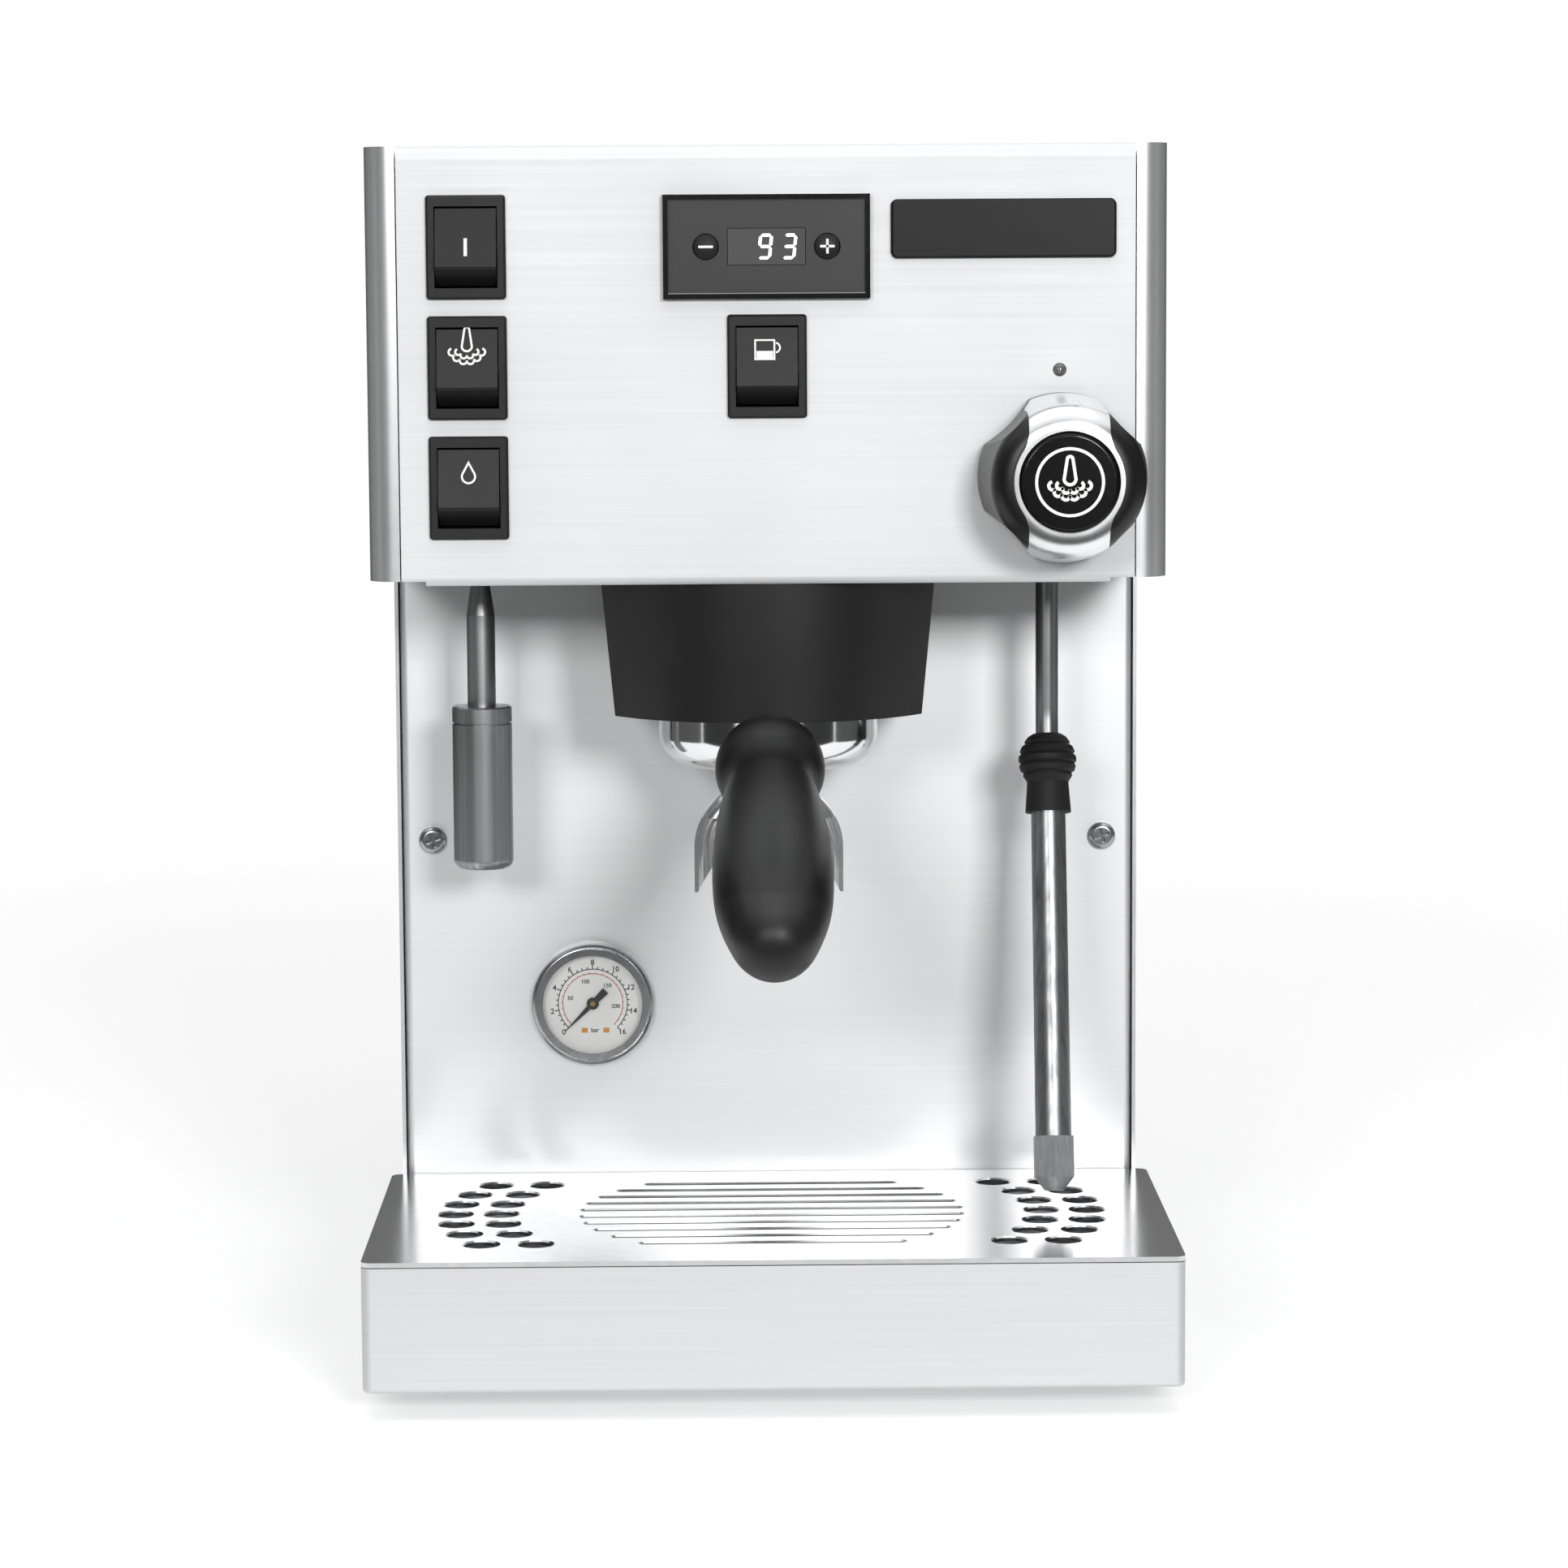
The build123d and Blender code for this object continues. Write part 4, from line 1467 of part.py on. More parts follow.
# Steam boiler: upright vessel with domed ends on three legs, behind the splash panel
steam_boiler_axis = Axis((STEAM_BOILER_X, STEAM_BOILER_Y, 0), (0, 0, 1))
with BuildPart() as steam_boiler:
    with BuildSketch(front_plane(STEAM_BOILER_Y)):
        with BuildLine():
            vessel_radius = STEAM_BOILER_DIAMETER / 2
            vessel_low = BASE_TOP + STEAM_BOILER_LEGS
            vessel_edge = STEAM_BOILER_X + vessel_radius
            Line((STEAM_BOILER_X, vessel_low), (STEAM_BOILER_X, STEAM_BOILER_TOP))
            low_edge = (vessel_edge, vessel_low + BOILER_DOME)
            high_edge = (vessel_edge, STEAM_BOILER_TOP - BOILER_DOME)
            Line(low_edge, high_edge)
            TangentArc((STEAM_BOILER_X, vessel_low), low_edge, tangent=(1, 0))
            TangentArc((STEAM_BOILER_X, STEAM_BOILER_TOP), high_edge, tangent=(1, 0))
        make_face()
    revolve(axis=steam_boiler_axis)
    with BuildSketch(Plane.XY.offset(BASE_TOP)):
        with Locations((STEAM_BOILER_X, STEAM_BOILER_Y)):
            with PolarLocations(vessel_radius - 2 * LEG_DIAMETER, 3):
                Circle(LEG_DIAMETER / 2)
    extrude(amount=STEAM_BOILER_LEGS + BOILER_DOME)
    with BuildSketch(Plane.XY.offset(STEAM_BOILER_TOP - BOILER_DOME)):
        with Locations(
            (STEAM_BOILER_X - BOILER_PORT_X, STEAM_BOILER_Y),
            (STEAM_BOILER_X + BOILER_PORT_X, STEAM_BOILER_Y),
        ):
            Circle(PORT_DIAMETER / 2)
    extrude(amount=BOILER_DOME + PORT_HEIGHT)
write(steam_boiler.part, "steam_boiler")

# Pump: motor in a saddle on the base pan, with its smaller pump end in front
with BuildPart() as pump:
    with BuildSketch(front_plane(PUMP_FRONT)):
        with Locations((PUMP_X, PUMP_Z)):
            Circle(PUMP_DIAMETER / 2)
        with Locations((PUMP_X, BASE_TOP)):
            Rectangle(PUMP_SADDLE_WIDTH, PUMP_Z - BASE_TOP, align=(Align.CENTER, Align.MIN))
    extrude(amount=-PUMP_LENGTH)
    with BuildSketch(front_plane(PUMP_FRONT)):
        with Locations((PUMP_X, PUMP_Z)):
            Circle(PUMP_HEAD_DIAMETER / 2)
    extrude(amount=PUMP_HEAD_LENGTH)
    with BuildSketch(Plane.XY.offset(PUMP_Z)):
        with Locations((PUMP_X, PUMP_PORT_Y)):
            Circle(PORT_DIAMETER / 2)
    extrude(amount=PUMP_DIAMETER / 2 + PORT_HEIGHT)
write(pump.part, "pump")


def pipe(*points):
    """One round pipe through the points, with bends of one radius."""
    with BuildLine() as route:
        FilletPolyline(*points, radius=PIPE_BEND)
    with BuildSketch(Plane(origin=route.line @ 0, z_dir=route.line % 0)) as section:
        Circle(PIPE_DIAMETER / 2)
    return sweep(section.sketch, path=route.line, mode=Mode.PRIVATE)


# Copper pipes: steam to the valve, hot water to the outlet tube, and pump water to the coffee boiler
steam_port_x = STEAM_BOILER_X + BOILER_PORT_X
water_port_x = STEAM_BOILER_X - BOILER_PORT_X
steam_port_z = STEAM_BOILER_TOP + PORT_HEIGHT
valve_back = HEAD_FRONT + VALVE_SETBACK + VALVE_LENGTH
outlet_pipe_z = KNOB_Z + PIPE_STEP
coffee_port_z = SHELF_TOP + COFFEE_BOILER_HEIGHT + PORT_HEIGHT
with BuildPart() as copper_pipes:
    add(
        pipe(
            (steam_port_x, STEAM_BOILER_Y, steam_port_z),
            (steam_port_x, STEAM_BOILER_Y, KNOB_Z),
            (KNOB_X, STEAM_BOILER_Y, KNOB_Z),
            (KNOB_X, valve_back, KNOB_Z),
        )
    )
    add(
        pipe(
            (water_port_x, STEAM_BOILER_Y, steam_port_z),
            (water_port_x, STEAM_BOILER_Y, outlet_pipe_z),
            (OUTLET_X, STEAM_BOILER_Y, outlet_pipe_z),
            (OUTLET_X, WAND_Y, outlet_pipe_z),
            (OUTLET_X, WAND_Y, SHELF_TOP + OUTLET_STUB),
        )
    )
    add(
        pipe(
            (PUMP_X, PUMP_PORT_Y, PUMP_Z + PUMP_DIAMETER / 2 + PORT_HEIGHT),
            (PUMP_X, PUMP_PORT_Y, coffee_port_z + PIPE_STEP),
            (PUMP_X, GROUP_Y, coffee_port_z + PIPE_STEP),
            (BOILER_PORT_X, GROUP_Y, coffee_port_z + PIPE_STEP),
            (BOILER_PORT_X, GROUP_Y, coffee_port_z),
        )
    )
write(copper_pipes.part, "copper_pipes")

# Mains inlet: flanged socket with three pins in the back panel
with BuildPart() as power_inlet:
    with BuildSketch(front_plane(BACK)):
        with Locations((INLET_X, INLET_Z)):
            Rectangle(INLET_WIDTH + 2 * INLET_FLANGE, INLET_HEIGHT + INLET_FLANGE)
    extrude(amount=-INLET_FLANGE / 2)
    with BuildSketch(front_plane(BACK)):
        with Locations((INLET_X, INLET_Z)):
            Rectangle(INLET_WIDTH - SEAM, INLET_HEIGHT - SEAM)
    extrude(amount=INLET_DEPTH)
    with BuildSketch(front_plane(BACK + INLET_FLANGE / 2)):
        with Locations((INLET_X, INLET_Z)):
            RectangleRounded(INLET_WIDTH - 2 * INLET_FLANGE, INLET_HEIGHT - INLET_FLANGE, SWITCH_CORNER)
    extrude(amount=INLET_DEPTH - INLET_FLANGE, mode=Mode.SUBTRACT)
    with BuildSketch(front_plane(BACK - INLET_DEPTH)):
        for pin_x, pin_z in INLET_PINS:
            with Locations((INLET_X + pin_x, INLET_Z + pin_z)):
                Rectangle(PIN_WIDTH, PIN_HEIGHT)
    extrude(amount=PIN_RECESS - INLET_DEPTH)
write(power_inlet.part, "power_inlet")
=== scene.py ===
"""Looks of the espresso machine: finishes, printed marks and the studio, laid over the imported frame."""

import logging
import math
from dataclasses import dataclass, field
from enum import Enum
from typing import Any, Iterable, Sequence

import bmesh
import bpy
from mathutils import Matrix, Vector


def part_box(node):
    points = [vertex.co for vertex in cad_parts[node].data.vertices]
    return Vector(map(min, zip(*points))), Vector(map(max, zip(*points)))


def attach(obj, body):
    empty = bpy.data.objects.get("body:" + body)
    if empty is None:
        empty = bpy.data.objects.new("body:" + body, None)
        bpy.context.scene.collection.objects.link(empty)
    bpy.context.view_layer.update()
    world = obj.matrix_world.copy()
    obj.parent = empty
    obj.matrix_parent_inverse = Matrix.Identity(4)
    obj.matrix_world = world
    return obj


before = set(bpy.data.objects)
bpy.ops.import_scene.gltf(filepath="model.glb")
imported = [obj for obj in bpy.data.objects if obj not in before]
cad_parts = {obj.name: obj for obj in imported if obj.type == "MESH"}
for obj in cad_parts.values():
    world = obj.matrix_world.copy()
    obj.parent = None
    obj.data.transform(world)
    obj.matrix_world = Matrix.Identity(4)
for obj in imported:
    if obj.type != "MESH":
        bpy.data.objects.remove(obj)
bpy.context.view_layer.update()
LOG = logging.getLogger("espresso_machine")
MM = 0.001
# Half the thickness of printed figures in millimetres, and the swell of their outline as a share of size.
FIGURE_INK = 0.05
FIGURE_SWELL = 0.02
Point = tuple[float, float]
Point3 = tuple[float, float, float]


def linear(hex_code: str) -> tuple[float, float, float, float]:
    """Turn an sRGB hex colour into linear red, green, blue and a full alpha.

    Args:
        hex_code: Six hex digits with a leading hash.

    Returns:
        Four numbers from 0 to 1.
    """
    parts = (int(hex_code[i : i + 2], 16) / 255 for i in (1, 3, 5))
    red, green, blue = (c / 12.92 if c <= 0.04045 else ((c + 0.055) / 1.055) ** 2.4 for c in parts)
    return red, green, blue, 1.0


def add_node(
    tree: bpy.types.NodeTree, kind: str, inputs: dict[Any, Any] | None = None, **settings: Any
) -> Any:
    """Add one node with its settings, values and links.

    Args:
        tree: The tree that takes the node.
        kind: Blender's name of the node type.
        inputs: Input name or index to a value, or to an output socket that is linked to it.
        settings: Properties of the node itself.

    Returns:
        The new node.
    """
    made = tree.nodes.new(kind)
    for key, value in settings.items():
        setattr(made, key, value)
    for key, value in (inputs or {}).items():
        if isinstance(value, bpy.types.NodeSocket):
            tree.links.new(value, made.inputs[key])
        else:
            made.inputs[key].default_value = value
    return made


class Grain(Enum):
    """The way that brush lines or other drawn-out marks run, as stretch along X, Y and Z."""

    NONE = (1.0, 1.0, 1.0)
    ALONG_X = (0.008, 1.0, 1.0)
    ALONG_Y = (1.0, 0.008, 1.0)
    ALONG_Z = (1.0, 1.0, 0.008)


@dataclass(frozen=True)
class Finish:
    """One surface finish: a body colour with a fine pattern in its colour, gloss and relief.

    The pattern is a noise whose grains are pattern_mm wide, drawn out along the grain where there is one.
    """

    name: str
    colour: str
    roughness: float
    metallic: float = 0.0
    shade: str | None = None
    roughness_swing: float = 0.06
    pattern_mm: float = 1.0
    relief_mm: float = 0.0
    grain: Grain = Grain.NONE
    ior: float = 1.5
    specular: float = 0.5
    coat: float = 0.0
    alpha: float = 1.0
    emission: float = 0.0
    smudge_mm: float = 60.0

    def material(self) -> bpy.types.Material:
        """Build the material once and hand out the same one afterwards.

        Returns:
            The material.
        """
        known = bpy.data.materials.get(self.name)
        if known is not None:
            return known
        made = bpy.data.materials.new(self.name)
        made.use_nodes = True
        tree = made.node_tree
        shader = tree.nodes["Principled BSDF"]
        shader.inputs["Metallic"].default_value = self.metallic
        if self.metallic == 0.0:
            shader.inputs["IOR"].default_value = self.ior
            shader.inputs["Specular IOR Level"].default_value = self.specular
        shader.inputs["Coat Weight"].default_value = self.coat
        shader.inputs["Alpha"].default_value = self.alpha
        place = add_node(tree, "ShaderNodeTexCoord")
        stretch = add_node(
            tree,
            "ShaderNodeMapping",
            {"Vector": place.outputs["Object"], "Scale": self.grain.value},
        )
        fine = add_node(
            tree,
            "ShaderNodeTexNoise",
            {"Vector": stretch.outputs["Vector"], "Scale": 1 / (2 * self.pattern_mm * MM), "Detail": 3.0},
        )
        smudge = add_node(
            tree,
            "ShaderNodeTexNoise",
            {"Vector": place.outputs["Object"], "Scale": 1 / (self.smudge_mm * MM), "Detail": 2.0},
        )
        both = add_node(
            tree,
            "ShaderNodeMath",
            {0: fine.outputs["Fac"], 1: smudge.outputs["Fac"]},
            operation="ADD",
        )
        gloss = add_node(
            tree,
            "ShaderNodeMapRange",
            {
                "Value": both.outputs[0],
                "From Min": 0.6,
                "From Max": 1.4,
                "To Min": max(self.roughness - self.roughness_swing, 0.02),
                "To Max": min(self.roughness + self.roughness_swing, 1.0),
            },
        )
        tree.links.new(gloss.outputs["Result"], shader.inputs["Roughness"])
        blend = add_node(
            tree,
            "ShaderNodeMix",
            {0: fine.outputs["Fac"], 6: linear(self.colour), 7: linear(self.shade or self.colour)},
            data_type="RGBA",
        )
        tree.links.new(blend.outputs[2], shader.inputs["Base Color"])
        if self.emission:
            shader.inputs["Emission Color"].default_value = linear(self.colour)
            shader.inputs["Emission Strength"].default_value = self.emission
        if self.relief_mm:
            bump = add_node(
                tree,
                "ShaderNodeBump",
                {"Height": fine.outputs["Fac"], "Distance": self.relief_mm * MM, "Strength": 1.0},
            )
            tree.links.new(bump.outputs["Normal"], shader.inputs["Normal"])
        return made


# Stainless sheet, brushed on a belt: long fine lines, soft reflections that smear across the lines.
# The real lines are about 0.1 mm apart, too fine to show, so they are drawn 0.5 mm wide.
STEEL_ACROSS = Finish(
    "brushed_stainless_across", "#EBEBEC", 0.7, 0.88, "#E4E5E6", roughness_swing=0.05, pattern_mm=0.5,
    relief_mm=0.004, grain=Grain.ALONG_X,
)
# The splash panel comes from the same sheet with a finer belt, so its reflections are a little clearer.
STEEL_SPLASH = Finish(
    "fine_brushed_stainless", "#EDEDEE", 0.46, 0.94, "#E4E5E6", roughness_swing=0.03, pattern_mm=0.5,
    relief_mm=0.002, grain=Grain.ALONG_X,
)
# The side panels, the cup tray and the lid are brushed from front to back. They are seen from further away,
# so their lines are drawn 1.2 mm wide.
STEEL_BACK = Finish(
    "brushed_stainless_back", "#E4E5E6", 0.33, 0.8, "#DADBDC", roughness_swing=0.04, pattern_mm=1.2,
    relief_mm=0.002, grain=Grain.ALONG_Y,
)
STEEL_TRAY = Finish(
    "brushed_stainless_tray", "#DADADC", 0.55, 0.88, "#CDCED0", roughness_swing=0.04, pattern_mm=0.5,
    relief_mm=0.002, grain=Grain.ALONG_X,
)
# Stainless sheet, polished: nearly a mirror with faint rolling waves.
STEEL_POLISHED = Finish(
    "polished_stainless", "#F2F2F3", 0.1, 1.0, "#EBECED", roughness_swing=0.03, pattern_mm=2.0,
    relief_mm=0.002,
)
# Bare cold-rolled sheet: dull grey with cloudy patches.
SHEET_GREY = Finish("bare_cold_rolled_sheet", "#9A9C9E", 0.5, 1.0, "#85878A", pattern_mm=6.0)
# Chrome plate on turned brass: bright, with reflections that are only slightly softened.
CHROME = Finish("chrome_plate", "#F0F1F2", 0.12, 1.0, "#E7E8EA", roughness_swing=0.02, pattern_mm=3.0)
# Chrome plate on a moulded bridge: bright, but softer than on turned metal.
CHROME_SATIN = Finish(
    "chrome_plate_on_plastic", "#F0F1F2", 0.27, 1.0, "#E8E9EA", roughness_swing=0.03, pattern_mm=3.0,
)
# Machined brass: warm yellow with turning marks.
BRASS = Finish("machined_brass", "#C9A95C", 0.3, 1.0, "#B8964A", pattern_mm=0.6, grain=Grain.ALONG_X)
# Bent copper pipe: drawn smooth, darkened by handling.
COPPER = Finish("drawn_copper", "#C27D55", 0.28, 1.0, "#A5643F", pattern_mm=4.0)
# Deep-drawn stainless vessel: satin with faint draw lines.
VESSEL = Finish(
    "deep_drawn_stainless", "#C4C6C8", 0.36, 1.0, "#AEB0B3", pattern_mm=1.5, grain=Grain.ALONG_Z,
)
# Die-cast aluminium: grainy and dull.
CAST_ALUMINIUM = Finish(
    "die_cast_aluminium", "#A9ABAD", 0.55, 1.0, "#909294", pattern_mm=0.8, relief_mm=0.05,
)
# Black glass-filled nylon, moulded with a fine spark-eroded grain: soft grey sheen, no clear reflection.
MOULDED_BLACK = Finish(
    "moulded_nylon_black", "#1E1E1E", 0.48, 0.0, "#191919", roughness_swing=0.05, pattern_mm=0.4,
    relief_mm=0.012, specular=0.3,
)
# The same nylon worn smooth by the hand: a broad soft highlight.
HANDLE_BLACK = Finish(
    "moulded_handle_black", "#151515", 0.4, 0.0, "#121212", roughness_swing=0.04, pattern_mm=0.5,
    relief_mm=0.005, specular=0.34,
)
# The handle's end cap is a moulding of its own, a little greyer, so that its seam shows as a faint arch.
CAP_BLACK = Finish(
    "moulded_cap_black", "#191919", 0.46, 0.0, "#161616", roughness_swing=0.04, pattern_mm=0.5,
    relief_mm=0.003, specular=0.42,
)
# Black ABS of the rockers, half gloss.
ROCKER_BLACK = Finish(
    "moulded_abs_rocker", "#1D1D1D", 0.4, 0.0, "#191919", roughness_swing=0.05, pattern_mm=0.5,
    relief_mm=0.008, specular=0.28,
)
# Dark grey acrylic of the display: glossy face with a thin clear coat.
DISPLAY_GREY = Finish(
    "acrylic_display_grey", "#3A3A3A", 0.3, 0.0, "#383838", roughness_swing=0.015, pattern_mm=1.0,
    specular=0.3,
)
# Sawn and polished edge of the acrylic, drawn as a pale strip along the lower edge: a painted highlight,
# paler than the face.
EDGE_PAINTED_HIGHLIGHT = Finish(
    "acrylic_edge_painted_highlight", "#8C8C8C", 0.2, 0.0, "#808080", roughness_swing=0.03, pattern_mm=1.0,
)
DISPLAY_WINDOW = Finish(
    "acrylic_display_window", "#525253", 0.2, 0.0, "#4C4C4D", pattern_mm=1.5, specular=0.3,
)
GLOSS_BLACK = Finish(
    "gloss_abs_black", "#141414", 0.18, 0.0, "#101010", roughness_swing=0.04, pattern_mm=1.0,
    specular=0.3,
)
# Black silicone rubber: matt, with a dusty bloom.
RUBBER = Finish(
    "silicone_rubber_black", "#1F1F1F", 0.6, 0.0, "#191919", pattern_mm=0.5, relief_mm=0.02,
    specular=0.3,
)
# White print on plastic: matt ink.
PRINT_WHITE = Finish("printed_ink_white", "#F4F4F2", 0.6, 0.0, "#ECECEA", pattern_mm=0.3)
PRINT_BLACK = Finish("printed_ink_black", "#1D1D1D", 0.6, 0.0, "#151515", pattern_mm=0.3)
PRINT_RED = Finish("printed_ink_red", "#C8483C", 0.6, 0.0, "#BE3F34", pattern_mm=0.3)
PRINT_ORANGE = Finish("printed_ink_orange", "#E59A2E", 0.6, 0.0, "#DB8F24", pattern_mm=0.3)
# Silver foil pressed into the knob's disc: bright, with a soft sheen.
FOIL_SILVER = Finish(
    "hot_stamped_foil_silver", "#E9E9EA", 0.35, 0.5, "#E0E1E2", roughness_swing=0.04, pattern_mm=0.3,
)
# Lit segments of the display: they glow a little, so that they stay white behind the window.
LIT_SEGMENT = Finish("lit_segment_white", "#FFFFFF", 0.4, 0.0, "#F6F6F6", pattern_mm=0.5, emission=0.7)
# White enamel of the gauge's dial.
DIAL_ENAMEL = Finish("dial_enamel_white", "#FAFAF7", 0.4, 0.0, "#F4F4F0", pattern_mm=1.0)
# Clear gauge lens, thin and faintly reflecting.
LENS = Finish(
    "clear_polycarbonate", "#FFFFFF", 0.05, 0.0, pattern_mm=5.0, roughness_swing=0.02, ior=1.45,
    alpha=0.03,
)
# Tinted lens of the pilot lamp, unlit.
LAMP = Finish("tinted_polycarbonate_lamp", "#6A6A6A", 0.12, 0.0, "#565656", pattern_mm=0.8, coat=0.6)
# Blow-moulded polyethylene of the tank: milky, waxy.
TANK_MILKY = Finish(
    "blow_moulded_polyethylene", "#D9DDDF", 0.45, 0.0, "#CDD2D5", pattern_mm=8.0, relief_mm=0.1,
)

# The underside of the head: the same sheet, unbrushed and duller. Its colour is painted far darker than the
# other steel, as painted shade under the head.
STEEL_UNDER_PAINTED_SHADE = Finish("rolled_stainless_underside_painted_shade", "#8E8F90", 0.45, 1.0, "#848586", pattern_mm=1.0)
# Stainless sheet of the grate, polished after the slots were punched.
STEEL_GRATE = Finish(
    "polished_stainless_grate", "#DCDCDD", 0.2, 1.0, "#D2D3D4", roughness_swing=0.04, pattern_mm=1.5,
    relief_mm=0.003,
)
# Bent stainless tube, drawn through a die and polished along its length; the strong light and dark lines that
# run down it are painted reflection streaks.
TUBE_STEEL_PAINTED_STREAKS = Finish(
    "drawn_stainless_tube_painted_streaks", "#C6C7C8", 0.36, 0.95, "#4C4D4F", roughness_swing=0.08, pattern_mm=0.9,
    grain=Grain.ALONG_Z,
)
# Wand tip of turned stainless, blasted with fine beads: pale grey, no clear reflections, faint lines.
TIP_SATIN = Finish(
    "bead_blasted_stainless", "#D6D7D8", 0.42, 0.7, "#8C8D8F", pattern_mm=0.8, relief_mm=0.002,
    grain=Grain.ALONG_Z,
)
# Nickel plate, tumbled: bright, with reflections softened by the casting's ripples.
NICKEL_TUMBLED = Finish(
    "tumbled_nickel_plate", "#F2F2F3", 0.24, 0.9, "#E2E3E4", roughness_swing=0.05, pattern_mm=2.5,
    relief_mm=0.012,
)
# Chrome plate on the gauge's pressed case and the screws: satin, so that they look an even grey.
CASE_SATIN = Finish(
    "satin_chrome_plate", "#B2B3B5", 0.26, 0.95, "#A5A6A8", roughness_swing=0.04, pattern_mm=2.0,
)
# Cover of the group and the knob: the black nylon, smoother and darker.
COVER_BLACK = Finish(
    "moulded_nylon_cover", "#131313", 0.4, 0.0, "#101010", roughness_swing=0.04, pattern_mm=0.4,
    relief_mm=0.005, specular=0.5,
)
KNOB_BLACK = Finish(
    "moulded_nylon_knob", "#141414", 0.36, 0.0, "#111111", roughness_swing=0.04, pattern_mm=0.4,
    relief_mm=0.005, specular=0.45,
)
# Bare badge of anodised aluminium, dyed black, under a clear seal that hides the metal.
BADGE_DARK = Finish(
    "anodised_aluminium_badge", "#1A1A1A", 0.38, 0.0, "#161616", roughness_swing=0.04, pattern_mm=0.5,
    specular=0.2, grain=Grain.ALONG_X,
)
# Needle: stamped aluminium, painted matt black.
NEEDLE_BLACK = Finish(
    "painted_aluminium_needle", "#161616", 0.5, 0.0, "#111111", pattern_mm=0.5, specular=0.3,
)


@dataclass
class Sheet:
    """A plane in the row frame that flat marks are laid on, with its own right, up and outward directions."""

    origin: Vector
    right: Vector
    up: Vector

    @property
    def out(self) -> Vector:
        """Outward direction of the plane."""
        return self.right.cross(self.up).normalized()

    def at(self, point: Point, lift: float = 0.0) -> Vector:
        """Place a point of the plane, in millimetres, in the row frame, in metres.

        Args:
            point: Distance to the right and up, in millimetres.
            lift: Height above the plane, in millimetres.

        Returns:
            The place in metres.
        """
        return self.origin + (self.right * point[0] + self.up * point[1] + self.out * lift) * MM


def front_sheet(x: float, y: float, z: float) -> Sheet:
    """Plane that faces the front, at a place in millimetres."""
    return Sheet(Vector((x, y, z)) * MM, Vector((1, 0, 0)), Vector((0, 0, 1)))


def arc(radius: float, start: float, end: float, steps: int, centre: Point = (0.0, 0.0)) -> list[Point]:
    """Points along an arc, from one angle to another.

    Args:
        radius: Radius in millimetres.
        start: First angle in degrees, from the right, turning to the top.
        end: Last angle in degrees.
        steps: How many stretches the arc has.
        centre: Middle of the arc in millimetres.

    Returns:
        Points in millimetres.
    """
    turns = (math.radians(start + (end - start) * i / steps) for i in range(steps + 1))
    return [(centre[0] + radius * math.cos(a), centre[1] + radius * math.sin(a)) for a in turns]


def stroke(points: Sequence[Point], width: float, closed: bool = False) -> list[list[Point]]:
    """Outlines of a line of even width: one four-sided patch for each stretch, mitred at the bends.

    Args:
        points: The line, in millimetres.
        width: Width of the line in millimetres.
        closed: True where the last point runs on to the first.

    Returns:
        Outlines, each a list of points.
    """
    count = len(points)
    left, right = [], []
    for i, here in enumerate(points):
        back = points[i - 1] if (i > 0 or closed) else here
        ahead = points[(i + 1) % count] if (i < count - 1 or closed) else here
        before = Vector((here[0] - back[0], here[1] - back[1]))
        after = Vector((ahead[0] - here[0], ahead[1] - here[1]))
        before = before.normalized() if before.length else after.normalized()
        after = after.normalized() if after.length else before
        way = (before + after).normalized()
        side = Vector((-way.y, way.x))
        reach = width / 2 / max(side.dot(Vector((-after.y, after.x))), 0.4)
        left.append((here[0] + side.x * reach, here[1] + side.y * reach))
        right.append((here[0] - side.x * reach, here[1] - side.y * reach))
    last = count if closed else count - 1
    return [[right[i], right[(i + 1) % count], left[(i + 1) % count], left[i]] for i in range(last)]


@dataclass
class Marks:
    """Flat printed or inlaid marks: closed thin slabs, standing a little proud of the surface under them."""

    name: str
    sheet: Sheet
    finish: Finish
    body: str
    slot: str
    sink: float = 0.05
    height: float = 0.12
    outlines: list[list[Point]] = field(default_factory=list)

    def draw(self, *groups: Iterable[list[Point]]) -> "Marks":
        """Add groups of outlines to the mark.

        Args:
            groups: Lists of outlines.

        Returns:
            The mark itself.
        """
        for group in groups:
            self.outlines.extend(group)
        return self

    def build(self) -> bpy.types.Object:
        """Make the mesh, dress it and let it ride on its body.

        Returns:
            The new object.
        """
        mesh = bmesh.new()
        for outline in self.outlines:
            low = [mesh.verts.new(self.sheet.at(p, -self.sink)) for p in outline]
            high = [mesh.verts.new(self.sheet.at(p, self.height)) for p in outline]
            mesh.faces.new(high)
            mesh.faces.new(low[::-1])
            for i in range(len(outline)):
                j = (i + 1) % len(outline)
                mesh.faces.new((low[i], low[j], high[j], high[i]))
        bmesh.ops.recalc_face_normals(mesh, faces=mesh.faces)
        return finished_piece(self.name, mesh, self.finish, self.body)


def finished_piece(
    name: str, mesh: bmesh.types.BMesh, finish: Finish, body: str
) -> bpy.types.Object:
    """Turn a bmesh into an object that wears a finish and rides on a body.

    Args:
        name: Name of the piece.
        mesh: The shape, which is freed here.
        finish: Its finish.
        body: CAD body that it rides on.

    Returns:
        The new object.
    """
    data = bpy.data.meshes.new(name)
    mesh.to_mesh(data)
    mesh.free()
    piece = bpy.data.objects.new(name, data)
    bpy.context.scene.collection.objects.link(piece)
    data.materials.append(finish.material())
    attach(piece, body)
    LOG.info("made %s on %s", name, body)
    return piece


def dress(finish: Finish, *nodes: str) -> None:
    """Give CAD nodes a finish.

    Args:
        finish: The finish they wear.
        nodes: Names of the CAD nodes.
    """
    for node in nodes:
        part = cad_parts[node]
        part.data.materials.clear()
        part.data.materials.append(finish.material())
        LOG.info("dressed %s in %s", node, finish.name)


def middle(node: str) -> Vector:
    """Middle of a CAD node's box, in millimetres."""
    low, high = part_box(node)
    return (low + high) / 2 / MM


def front_of(node: str) -> float:
    """Place of a CAD node's foremost point along Y, in millimetres."""
    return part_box(node)[0].y / MM


